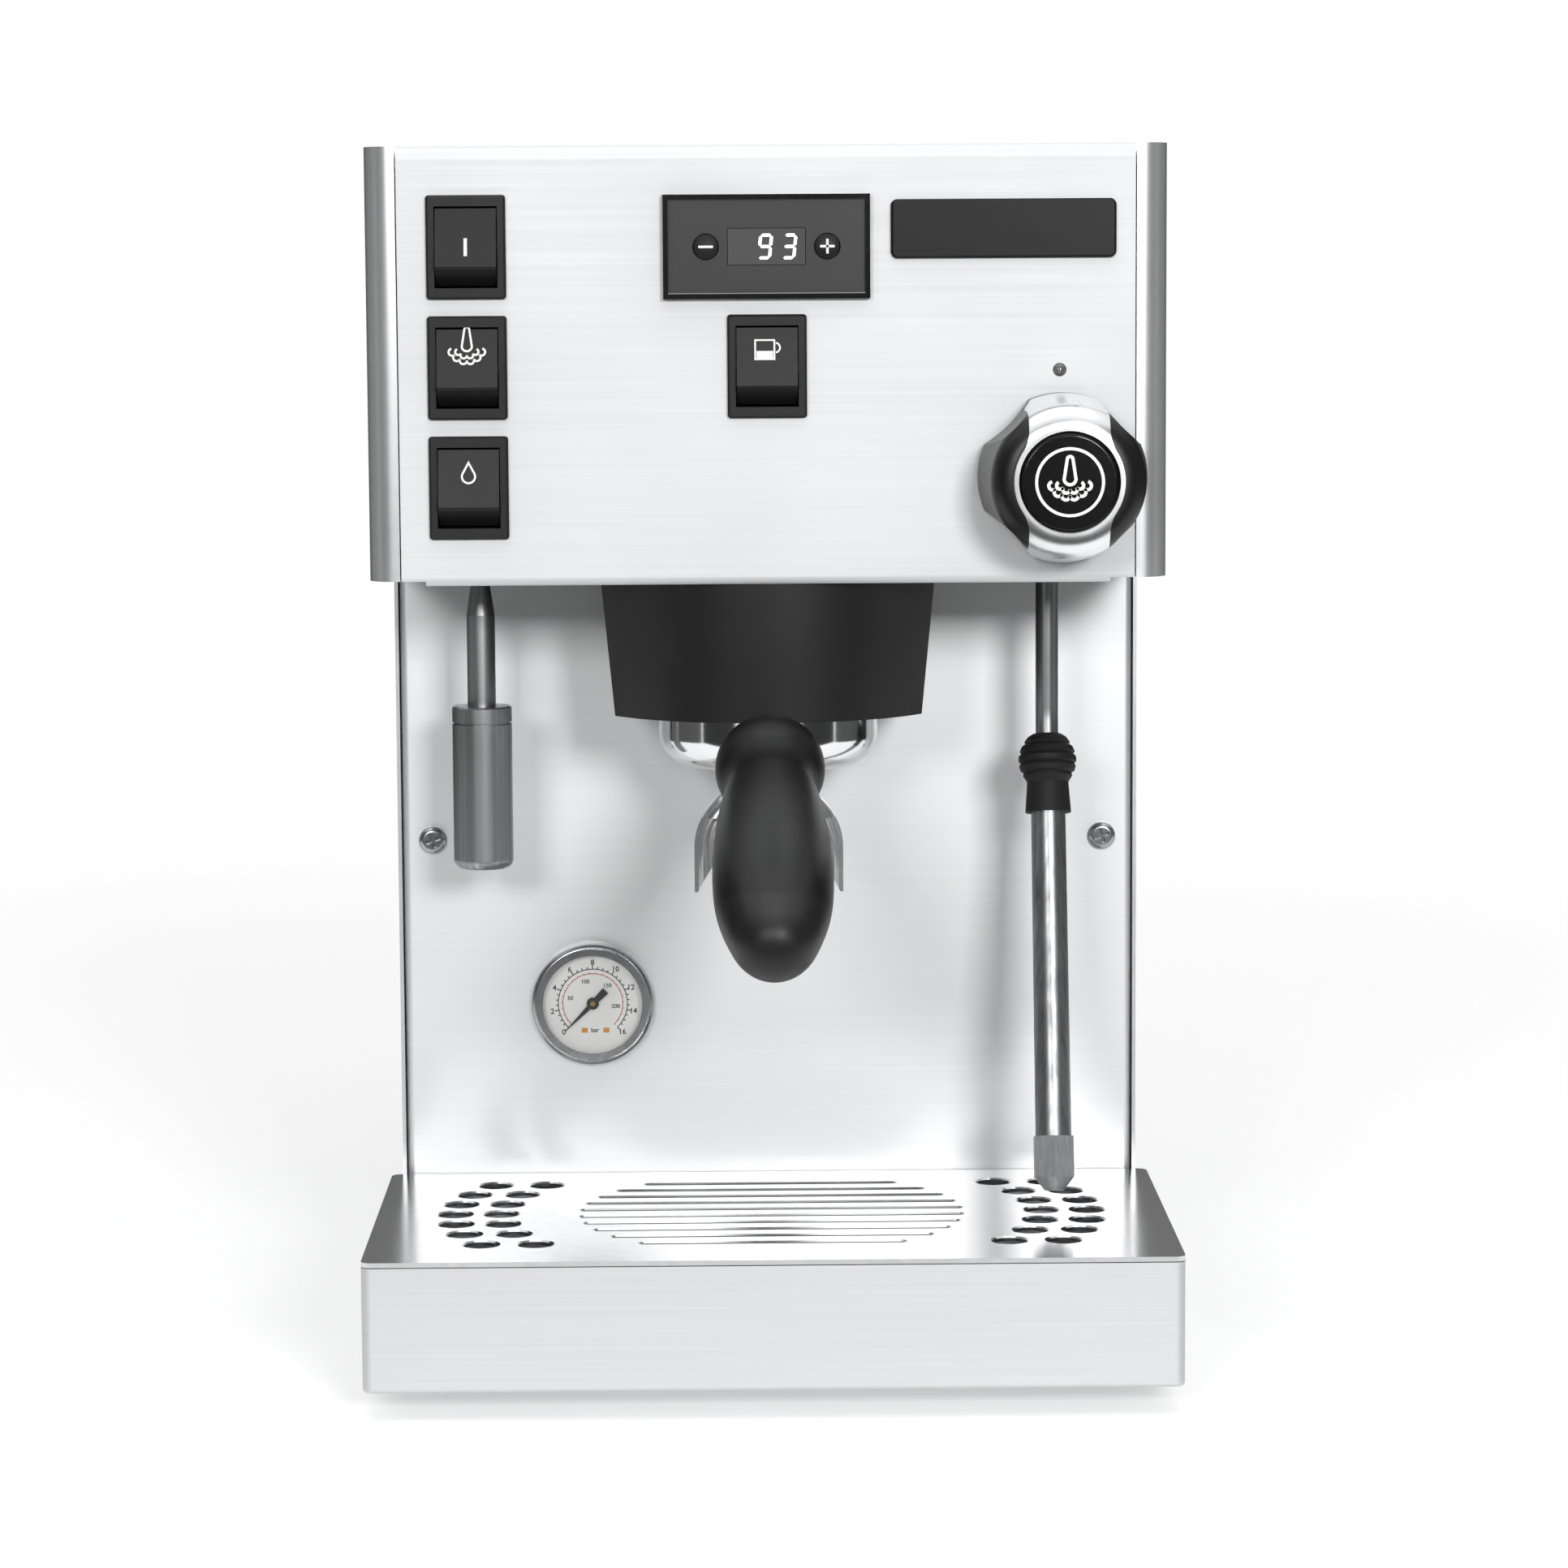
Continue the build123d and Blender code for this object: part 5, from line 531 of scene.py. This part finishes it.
@dataclass
class SteelHousing:
    """Brushed panels, splash panel, cup tray, base and what is fixed to them."""

    def dress(self) -> None:
        """Dress the panels and the small fixed pieces."""
        dress(STEEL_ACROSS, "control_panel", "back_panel")
        dress(STEEL_SPLASH, "splash_panel")
        dress(STEEL_BACK, "left_side_panel", "right_side_panel", "cup_tray")
        dress(STEEL_POLISHED, "shower_screen")
        dress(CASE_SATIN, "pan_head_screws")
        # The head's underside wears painted shade: its colour is darker than the sheet's own.
        dress(STEEL_UNDER_PAINTED_SHADE, "head_underside")
        dress(SHEET_GREY, "chassis", "base_pan")
        dress(RUBBER, "feet")
        dress(MOULDED_BLACK, "power_inlet")
        dress(BADGE_DARK, "badge_plate")
        dress(LAMP, "pilot_lamp")


class Mark(Enum):
    """What is printed on a rocker."""

    BAR = "bar"
    STEAM = "steam"
    DROP = "drop"
    CUP = "cup"


@dataclass
class RockerSwitch:
    """One rocker in its frame, with a white mark on the upper face of the rocker.

    The two ends of that face are given along Y, and in height from the middle of the frame.
    """

    name: str
    mark: Mark
    mark_up: float
    facet_top: Point = (-125.2, 11.6)
    facet_bottom: Point = (-128.4, -6.2)
    bar_half: Point = (0.5, 2.7)
    steam_width: float = 11.0
    steam_line: float = 0.62
    drop_line: float = 0.6
    cup_line: float = 0.5

    def facet(self) -> Sheet:
        """Plane of the rocker's upper face, with its middle at the mark."""
        place = middle(f"{self.name}_switch_frame")
        (top_y, top_z), (low_y, low_z) = self.facet_top, self.facet_bottom
        share = (top_z - self.mark_up) / (top_z - low_z)
        y = top_y + (low_y - top_y) * share
        up = Vector((0, top_y - low_y, top_z - low_z)).normalized()
        return Sheet(Vector((place.x, y, place.z + self.mark_up)) * MM, Vector((1, 0, 0)), up)

    def outlines(self) -> list[list[Point]]:
        """Outlines of the printed mark.

        Returns:
            Outlines in millimetres about the middle of the mark.
        """
        if self.mark is Mark.BAR:
            wide, tall = self.bar_half
            return [[(-wide, -tall), (wide, -tall), (wide, tall), (-wide, tall)]]
        if self.mark is Mark.STEAM:
            return steam_sign(self.steam_width, self.steam_line)
        if self.mark is Mark.DROP:
            round_end = arc(2.0, 152, 388, 16, (0.0, -1.2))
            return stroke([(0.0, 3.0), *round_end], self.drop_line, closed=True)
        body = [(-3.6, -2.9), (2.2, -2.9), (2.2, 2.9), (-3.6, 2.9)]
        coffee = [(-3.2, -2.7), (1.8, -2.7), (1.8, -0.4), (-3.2, -0.4)]
        handle = arc(1.5, -80, 80, 8, (2.4, 0.6))
        return stroke(body, self.cup_line, closed=True) + [coffee] + stroke(handle, self.cup_line)

    def build(self) -> None:
        """Dress the frame and the rocker, and print the mark."""
        dress(MOULDED_BLACK, f"{self.name}_switch_frame")
        dress(ROCKER_BLACK, f"{self.name}_rocker")
        body = f"{self.name}_rocker"
        mark = Marks(f"{self.name}_mark", self.facet(), PRINT_WHITE, body, "rocker_plastic")
        mark.draw(self.outlines()).build()


def steam_sign(width: float, line: float) -> list[list[Point]]:
    """Plain sign for steam: a nozzle with a puffed cloud under it.

    Args:
        width: Width of the sign in millimetres.
        line: Width of its lines in millimetres.

    Returns:
        Outlines about the middle of the sign, in millimetres.
    """
    unit = width / 11
    nozzle = [*arc(0.75, 160, 20, 6, (0.0, 5.9)), *arc(1.55, -8, -172, 10, (0.0, 0.9))]
    shapes = [stroke([(x * unit, y * unit) for x, y in nozzle], line, closed=True)]
    for radius, first, last, count in ((3.4, 205, 335, 4), (5.0, 195, 345, 6)):
        step = (last - first) / count
        puff = 2 * radius * math.sin(math.radians(step / 2)) / 2
        for i in range(count):
            turn = first + step * (i + 0.5)
            spot = arc(radius, turn, turn, 1, (0.0, 1.4))[0]
            ring = arc(puff, turn - 105, turn + 105, 10, spot)
            shapes.append(stroke([(x * unit, y * unit) for x, y in ring], line))
    return [outline for shape in shapes for outline in shape]


@dataclass
class TemperatureDisplay:
    """Dark display panel with two slanted lit figures, and a button on each side."""

    figures: str = "93"
    figure_height: float = 6.8
    figure_width: float = 3.3
    segment: float = 0.95
    segment_gap: float = 0.12
    slant: float = 0.1
    pitch: float = 7.3
    first_right: float = -2.4
    rim_width: float = 1.5
    rim_height: float = 0.2
    highlight_width: float = 0.3
    highlight_rise: float = 0.2
    button_bar: Point = (2.2, 0.36)

    def segments(self, figure: str) -> list[list[Point]]:
        """Outlines of the lit segments of one figure.

        Args:
            figure: One of the figures 0 to 9.

        Returns:
            Outlines with the figure's lower left corner at the origin, in millimetres.
        """
        high, wide, half = self.figure_height, self.figure_width, self.segment / 2
        mid, gap = high / 2, self.segment_gap
        ends = {
            "a": ((0, high), (wide, high)), "b": ((wide, high), (wide, mid)),
            "c": ((wide, mid), (wide, 0)), "d": ((0, 0), (wide, 0)), "e": ((0, 0), (0, mid)),
            "f": ((0, mid), (0, high)), "g": ((0, mid), (wide, mid)),
        }
        lit = {
            "0": "abcdef", "1": "bc", "2": "abged", "3": "abgcd", "4": "fgbc", "5": "afgcd",
            "6": "afgedc", "7": "abc", "8": "abcdefg", "9": "abcdfg",
        }
        shapes = []
        for name in lit[figure]:
            start, stop = (Vector(p) for p in ends[name])
            along = (stop - start).normalized()
            side = Vector((-along.y, along.x)) * half
            start, stop = start + along * gap, stop - along * gap
            corners = [start, start + along * half - side, stop - along * half - side, stop]
            corners += [stop - along * half + side, start + along * half + side]
            shapes.append([(c.x + c.y * self.slant, c.y) for c in corners])
        return shapes

    def rim(self) -> None:
        """Lay the black rim round the panel, and a pale strip along its lower edge as a painted highlight."""
        low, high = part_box("display_frame")
        spot = middle("display_frame")
        half_rim = self.rim_width / 2
        wide = (high.x - low.x) / MM / 2 - half_rim
        tall = (high.z - low.z) / MM / 2 - half_rim
        face = front_sheet(spot.x, front_of("display_frame"), spot.z)
        frame_line = [(-wide, -tall), (wide, -tall), (wide, tall), (-wide, tall)]
        rim = Marks("display_rim", face, GLOSS_BLACK, "housing", "black_plastic", height=self.rim_height)
        rim.draw(stroke(frame_line, self.rim_width, closed=True)).build()
        # The pale strip just above the rim's lower side is a painted highlight of the lower edge.
        inner, level = wide - half_rim, -tall + half_rim + self.highlight_rise
        highlight_line = [(-inner, level), (inner, level)]
        edge = Marks("display_edge_painted_highlight", face, EDGE_PAINTED_HIGHLIGHT, "housing", "black_plastic", height=self.rim_height)
        edge.draw(stroke(highlight_line, self.highlight_width)).build()

    def build(self) -> None:
        """Dress the panel and the buttons, light the figures and mark the buttons."""
        dress(DISPLAY_GREY, "display_frame")
        dress(DISPLAY_WINDOW, "display_window")
        dress(MOULDED_BLACK, "minus_button", "plus_button")
        place = middle("display_window")
        foot = place.z - self.figure_height / 2
        face = front_sheet(place.x + self.first_right, front_of("display_window"), foot)
        lit = Marks("display_figures", face, LIT_SEGMENT, "housing", "display_glass", height=0.08)
        for i, figure in enumerate(self.figures):
            lit.draw([[(x + i * self.pitch, y) for x, y in shape] for shape in self.segments(figure)])
        lit.build()
        self.rim()
        long, thin = self.button_bar
        across = [(-long, -thin), (long, -thin), (long, thin), (-long, thin)]
        upright = [(y, x) for x, y in across]
        for node, shapes in (("minus_button", [across]), ("plus_button", [across, upright])):
            spot = middle(node)
            dome = front_sheet(spot.x, front_of(node), spot.z)
            mark = Marks(f"{node}_mark", dome, PRINT_WHITE, node, "black_plastic", sink=0.9, height=0.06)
            mark.draw(shapes).build()


@dataclass
class PressureGauge:
    """Round gauge with a white dial, printed scales and a black needle."""

    first_turn: float = 225.0
    last_turn: float = -45.0
    scale_radius: float = 11.4
    red_radius: float = 9.9
    figure_radius: float = 13.6
    inner_figure_radius: float = 7.6
    full_scale: int = 16
    inner_per_outer: float = 14.5
    inner_figures: tuple[int, ...] = (50, 100, 150, 200)
    line_width: float = 0.3
    tick_width: float = 0.34
    long_tick: float = 1.4
    short_tick: float = 0.8
    red_width: float = 0.26
    red_ticks: int = 24
    red_tick: float = 0.5
    red_tick_width: float = 0.2
    stop_marks: Point = (-2.8, 4.4)
    stop_half_width: float = 1.0
    stop_span: Point = (-9.8, -8.2)
    unit_place: Point = (0.6, -9.0)
    figure_size: float = 2.5
    inner_figure_size: float = 1.9
    unit_size: float = 2.0
    ink: float = 0.04
    pin_radius: float = 0.8

    def turn(self, share: float) -> float:
        """Angle on the dial, in degrees, at a share of the full scale."""
        return self.first_turn + (self.last_turn - self.first_turn) * share

    def tick(self, share: float, inner: float, outer: float, width: float) -> list[list[Point]]:
        """Outline of one tick.

        Args:
            share: Share of the full scale.
            inner: Inner radius in millimetres.
            outer: Outer radius in millimetres.
            width: Width in millimetres.

        Returns:
            A list with the tick's outline.
        """
        angle = self.turn(share)
        return stroke([arc(inner, angle, angle, 1)[0], arc(outer, angle, angle, 1)[0]], width)

    def build(self) -> None:
        """Dress the gauge and print its dial."""
        dress(CASE_SATIN, "gauge_case")
        dress(DIAL_ENAMEL, "gauge_dial")
        dress(NEEDLE_BLACK, "gauge_needle")
        dress(LENS, "gauge_lens")
        spot = middle("gauge_dial")
        face = front_sheet(spot.x, front_of("gauge_dial"), spot.z)
        black = Marks("gauge_scale", face, PRINT_BLACK, "housing", "dial_white", height=self.ink)
        black.draw(stroke(arc(self.scale_radius, self.first_turn, self.last_turn, 60), self.line_width))
        for i in range(self.full_scale * 2 + 1):
            outer = self.scale_radius + (self.long_tick if i % 4 == 0 else self.short_tick)
            black.draw(self.tick(i / self.full_scale / 2, self.scale_radius, outer, self.tick_width))
        black.build()
        red = Marks("gauge_inner_scale", face, PRINT_RED, "housing", "dial_white", height=self.ink)
        red.draw(stroke(arc(self.red_radius, self.first_turn, self.last_turn, 60), self.red_width))
        for i in range(self.red_ticks):
            share, outer = i / (self.red_ticks - 1), self.red_radius + self.red_tick
            red.draw(self.tick(share, self.red_radius, outer, self.red_tick_width))
        red.build()
        orange = Marks("gauge_stop_marks", face, PRINT_ORANGE, "housing", "dial_white", height=self.ink)
        low, high = self.stop_span
        for x in self.stop_marks:
            left, right = x - self.stop_half_width, x + self.stop_half_width
            orange.draw([[(left, low), (right, low), (right, high), (left, high)]])
        orange.build()
        figures = []
        for value in range(0, self.full_scale + 1, 2):
            angle = self.turn(value / self.full_scale)
            figures.append((str(value), arc(self.figure_radius, angle, angle, 1)[0], self.figure_size))
        for value in self.inner_figures:
            angle = self.turn(value / self.inner_per_outer / self.full_scale)
            spot_on_dial = arc(self.inner_figure_radius, angle, angle, 1)[0]
            figures.append((str(value), spot_on_dial, self.inner_figure_size))
        figures.append(("bar", self.unit_place, self.unit_size))
        lettering("gauge_figures", face, figures, PRINT_BLACK, "housing")
        hub = front_sheet(spot.x, front_of("gauge_needle"), spot.z)
        pin = Marks("needle_pin", hub, BRASS, "gauge_needle", "chrome", height=0.1)
        pin.draw([arc(self.pin_radius, 0, 360, 20)[:-1]]).build()


def lettering(
    name: str, sheet: Sheet, words: Sequence[tuple[str, Point, float]], finish: Finish, body: str
) -> bpy.types.Object:
    """Print figures on a plane.

    Args:
        name: Name of the piece.
        sheet: The plane.
        words: Each text with its middle and its size in millimetres.
        finish: The ink.
        body: CAD body that the print rides on.

    Returns:
        The new object.
    """
    mesh = bmesh.new()
    for text, spot, size in words:
        curve = bpy.data.curves.new("figure", "FONT")
        curve.body, curve.size, curve.extrude = text, size, FIGURE_INK
        curve.align_x, curve.align_y, curve.resolution_u = "CENTER", "CENTER", 3
        curve.offset = size * FIGURE_SWELL
        holder = bpy.data.objects.new("figure", curve)
        bpy.context.scene.collection.objects.link(holder)
        drawn = bpy.data.meshes.new_from_object(holder.evaluated_get(bpy.context.evaluated_depsgraph_get()))
        bpy.data.objects.remove(holder)
        for vertex in drawn.vertices:
            x, y, z = vertex.co
            vertex.co = sheet.at((x + spot[0], y + spot[1]), z)
        mesh.from_mesh(drawn)
        bpy.data.meshes.remove(drawn)
    bmesh.ops.remove_doubles(mesh, verts=mesh.verts, dist=1e-7)
    bmesh.ops.recalc_face_normals(mesh, faces=mesh.faces)
    return finished_piece(name, mesh, finish, body)


@dataclass
class SteamKnob:
    """Black knob with a chrome bridge and a glossy disc that carries a ring and the steam sign."""

    ring_radius: float = 9.9
    ring_width: float = 0.9
    sign_width: float = 12.6
    sign_line: float = 0.95

    def build(self) -> None:
        """Dress the knob, inlay the ring and print the sign."""
        dress(KNOB_BLACK, "knob_body")
        dress(CHROME_SATIN, "knob_bridge")
        dress(GLOSS_BLACK, "knob_disc")
        dress(BRASS, "valve_stem")
        spot = middle("knob_disc")
        face = front_sheet(spot.x, front_of("knob_disc"), spot.z)
        ring = Marks("knob_ring", face, FOIL_SILVER, "steam_knob", "chrome", height=0.15)
        ring.draw(stroke(arc(self.ring_radius, 0, 360, 72)[:-1], self.ring_width, closed=True)).build()
        sign = Marks("knob_sign", face, PRINT_WHITE, "steam_knob", "chrome")
        sign.draw(steam_sign(self.sign_width, self.sign_line)).build()


@dataclass
class SteamWand:
    """Steam wand in its ball collar, and the fixed hot-water outlet."""

    def dress(self) -> None:
        """Dress the pipes, the grip and the tip."""
        dress(CHROME, "wand_collar")
        dress(TIP_SATIN, "wand_tip")
        # The wand tube and the hot-water pipes carry painted reflection streaks in their colour.
        dress(TUBE_STEEL_PAINTED_STREAKS, "wand_tube", "hot_water_tube", "hot_water_outlet")
        dress(RUBBER, "wand_grip")


@dataclass
class Portafilter:
    """Group with its cover, and the portafilter that locks into it."""

    def dress(self) -> None:
        """Dress the group and the portafilter."""
        dress(COVER_BLACK, "group_cover")
        dress(CHROME, "portafilter_bowl", "group_head")
        dress(NICKEL_TUMBLED, "double_spout")
        dress(STEEL_POLISHED, "filter_basket", "basket_spring")
        dress(RUBBER, "group_gasket")
        dress(HANDLE_BLACK, "portafilter_handle")
        dress(CAP_BLACK, "handle_end_cap")


@dataclass
class DripTray:
    """Drip tray drawer and the slotted grate on it."""

    def dress(self) -> None:
        """Dress the tray and the grate."""
        dress(STEEL_TRAY, "drip_tray")
        dress(STEEL_GRATE, "drip_grate")


@dataclass
class InnerWorks:
    """Boilers, pump, valves and pipes inside the housing, and the tank behind them."""

    def dress(self) -> None:
        """Dress what the panels hide, and the tank with its lid."""
        dress(VESSEL, "coffee_boiler", "steam_boiler")
        dress(CAST_ALUMINIUM, "pump")
        dress(BRASS, "solenoid_valve", "steam_valve")
        dress(COPPER, "copper_pipes")
        dress(TANK_MILKY, "water_tank")
        dress(STEEL_BACK, "tank_lid")


@dataclass
class Card:
    """A card near the machine, seen only in reflections, that gives bright metal its stripes."""

    name: str
    turn: float
    distance: float
    width: float
    height: float
    colour: str
    lean: float = 90.0


@dataclass
class Lamp:
    """A soft box that points at the machine, with its place and size in metres and its power in watts."""

    name: str
    place: Point3
    size: Point
    power: float


@dataclass
class Studio:
    """White room with a pale floor, soft lamps, dark cards and the camera."""

    eye: Point3 = (-11.45, -1509.9, 349.55)
    yaw: float = 0.0114
    pitch: float = 0.1143
    roll: float = -0.0059
    lens_mm: float = 104.87
    floor_size: float = 12.0
    lift_near: float = 0.44
    lift_far: float = 0.7
    lift_from: float = 0.4
    lift_to: float = 2.0
    aim: Point3 = (0.0, 0.0, 0.2)
    card_lift: float = 0.002
    ambient: float = 0.36
    lamps: tuple[Lamp, ...] = (
        Lamp("soft_box_top", (0.0, -0.3, 2.0), (1.6, 1.4), 8.0),
        Lamp("soft_box_right", (0.5, -2.0, 0.72), (0.42, 0.3), 17.0),
        Lamp("soft_box_left", (-0.52, -2.0, 0.72), (0.42, 0.3), 8.5),
    )
    cards: tuple[Card, ...] = (
        Card("card_front", 0.0, 2.8, 3.5, 2.2, "#6A6A6A"),
        Card("card_lying_front", 0.0, 0.42, 1.8, 2.38, "#484848", 0.0),
        Card("card_front_left", -50.0, 0.95, 0.62, 0.9, "#484848"),
        Card("card_front_right", 50.0, 0.95, 0.62, 0.9, "#484848"),
        Card("card_left", -90.0, 0.95, 0.7, 0.9, "#646464"),
        Card("card_right", 90.0, 0.95, 0.7, 0.9, "#646464"),
        Card("card_back_left", -130.0, 0.95, 0.65, 0.9, "#2A2A2A"),
        Card("card_back_right", 130.0, 0.95, 0.65, 0.9, "#2A2A2A"),
        Card("card_back", 180.0, 0.95, 1.1, 0.9, "#8C8C8C"),
    )

    def camera(self) -> None:
        """Set the camera where the photograph was taken from."""
        right = Vector((math.cos(self.yaw), -math.sin(self.yaw), 0.0))
        level = math.cos(self.pitch)
        ahead = Vector((math.sin(self.yaw) * level, math.cos(self.yaw) * level, -math.sin(self.pitch)))
        up = right.cross(ahead)
        right, up = (
            right * math.cos(self.roll) + up * math.sin(self.roll),
            up * math.cos(self.roll) - right * math.sin(self.roll),
        )
        data = bpy.data.cameras.new("camera")
        data.sensor_width, data.lens = 36.0, self.lens_mm
        data.clip_start, data.clip_end = 0.05, 50.0
        eye = bpy.data.objects.new("camera", data)
        bpy.context.scene.collection.objects.link(eye)
        eye.matrix_world = Matrix.LocRotScale(
            Vector(self.eye) * MM, Matrix((right, up, -ahead)).transposed().to_quaternion(), None
        )
        bpy.context.scene.camera = eye

    def world(self) -> None:
        """White room: pure white where it is seen, softer where it only gives light."""
        room = bpy.data.worlds.new("white_room")
        room.use_nodes = True
        tree = room.node_tree
        back = tree.nodes["Background"]
        back.inputs["Color"].default_value = linear("#FFFFFF")
        strength = add_node(
            tree, "ShaderNodeMapRange", {"Value": self.seen(tree), "To Min": self.ambient, "To Max": 1.0}
        )
        tree.links.new(strength.outputs["Result"], back.inputs["Strength"])
        bpy.context.scene.world = room

    def seen(self, tree: bpy.types.NodeTree) -> bpy.types.NodeSocket:
        """Output that is 1 where a surface is seen, straight, in a mirror or through glass.

        Args:
            tree: The tree that takes the nodes.

        Returns:
            The output socket.
        """
        path = add_node(tree, "ShaderNodeLightPath")
        total = path.outputs["Is Camera Ray"]
        for other in ("Is Glossy Ray", "Is Transmission Ray"):
            total = add_node(
                tree, "ShaderNodeMath", {0: total, 1: path.outputs[other]}, operation="ADD", use_clamp=True
            ).outputs[0]
        return total

    def floor(self) -> None:
        """Pale floor that keeps the soft shadow of the machine."""
        mesh = bmesh.new()
        bmesh.ops.create_grid(mesh, x_segments=8, y_segments=8, size=self.floor_size / 2)
        data = bpy.data.meshes.new("floor")
        mesh.to_mesh(data)
        mesh.free()
        made = bpy.data.materials.new("matt_white_paper")
        made.use_nodes = True
        tree = made.node_tree
        shader = tree.nodes["Principled BSDF"]
        shader.inputs["Base Color"].default_value = linear("#F4F4F4")
        shader.inputs["Roughness"].default_value = 0.9
        shader.inputs["Specular IOR Level"].default_value = 0.0
        shader.inputs["Emission Color"].default_value = linear("#FFFFFF")
        place = add_node(tree, "ShaderNodeTexCoord")
        away = add_node(tree, "ShaderNodeVectorMath", {0: place.outputs["Object"]}, operation="LENGTH")
        lift = add_node(
            tree,
            "ShaderNodeMapRange",
            {
                "Value": away.outputs["Value"],
                "From Min": self.lift_from,
                "From Max": self.lift_to,
                "To Min": self.lift_near,
                "To Max": self.lift_far,
            },
            interpolation_type="SMOOTHSTEP",
        )
        shown = add_node(
            tree, "ShaderNodeMath", {0: lift.outputs["Result"], 1: self.seen(tree)}, operation="MULTIPLY"
        )
        tree.links.new(shown.outputs[0], shader.inputs["Emission Strength"])
        data.materials.append(made)
        floor = bpy.data.objects.new("floor", data)
        bpy.context.scene.collection.objects.link(floor)

    def lamp(self, lamp: Lamp) -> None:
        """Hang one soft box.

        Args:
            lamp: Its place, size and power.
        """
        data = bpy.data.lights.new(lamp.name, "AREA")
        data.shape, data.size, data.size_y, data.energy = "RECTANGLE", lamp.size[0], lamp.size[1], lamp.power
        box = bpy.data.objects.new(lamp.name, data)
        box.location = lamp.place
        way = Vector(self.aim) - Vector(lamp.place)
        box.rotation_euler = way.to_track_quat("-Z", "Y").to_euler()
        bpy.context.scene.collection.objects.link(box)

    def card(self, card: Card) -> None:
        """Set up one card, standing on the floor or lying on it.

        Args:
            card: Its place, size and colour.
        """
        turn = math.radians(card.turn)
        outward = Vector((math.sin(turn), -math.cos(turn), 0.0))
        foot = outward * card.distance + Vector((0.0, 0.0, self.card_lift))
        across = Vector((math.cos(turn), math.sin(turn), 0.0)) * (card.width / 2)
        lean = math.radians(card.lean)
        top = (outward * math.cos(lean) + Vector((0.0, 0.0, math.sin(lean)))) * card.height
        mesh = bmesh.new()
        corners = (foot - across, foot + across, foot + across + top, foot - across + top)
        mesh.faces.new([mesh.verts.new(c) for c in corners])
        data = bpy.data.meshes.new(card.name)
        mesh.to_mesh(data)
        mesh.free()
        made = bpy.data.materials.new(f"felt_{card.name}")
        made.use_nodes = True
        shader = made.node_tree.nodes["Principled BSDF"]
        shader.inputs["Base Color"].default_value = linear(card.colour)
        shader.inputs["Specular IOR Level"].default_value = 0.0
        data.materials.append(made)
        stand = bpy.data.objects.new(card.name, data)
        bpy.context.scene.collection.objects.link(stand)
        stand.visible_camera = stand.visible_diffuse = False
        stand.visible_shadow = stand.visible_transmission = False

    def build(self) -> None:
        """Set up the room."""
        self.world()
        self.floor()
        for lamp in self.lamps:
            self.lamp(lamp)
        for card in self.cards:
            self.card(card)
        self.camera()


def main() -> None:
    """Dress the machine and set up the studio."""
    logging.basicConfig(level=logging.INFO, format="%(message)s")
    bpy.context.scene.view_settings.view_transform = "Standard"
    SteelHousing().dress()
    RockerSwitch("power", Mark.BAR, 0.0).build()
    RockerSwitch("steam", Mark.STEAM, 5.7).build()
    RockerSwitch("water", Mark.DROP, 4.7).build()
    RockerSwitch("coffee", Mark.CUP, 5.0).build()
    TemperatureDisplay().build()
    PressureGauge().build()
    SteamKnob().build()
    SteamWand().dress()
    Portafilter().dress()
    DripTray().dress()
    InnerWorks().dress()
    Studio().build()


if __name__ == "__main__":
    main()
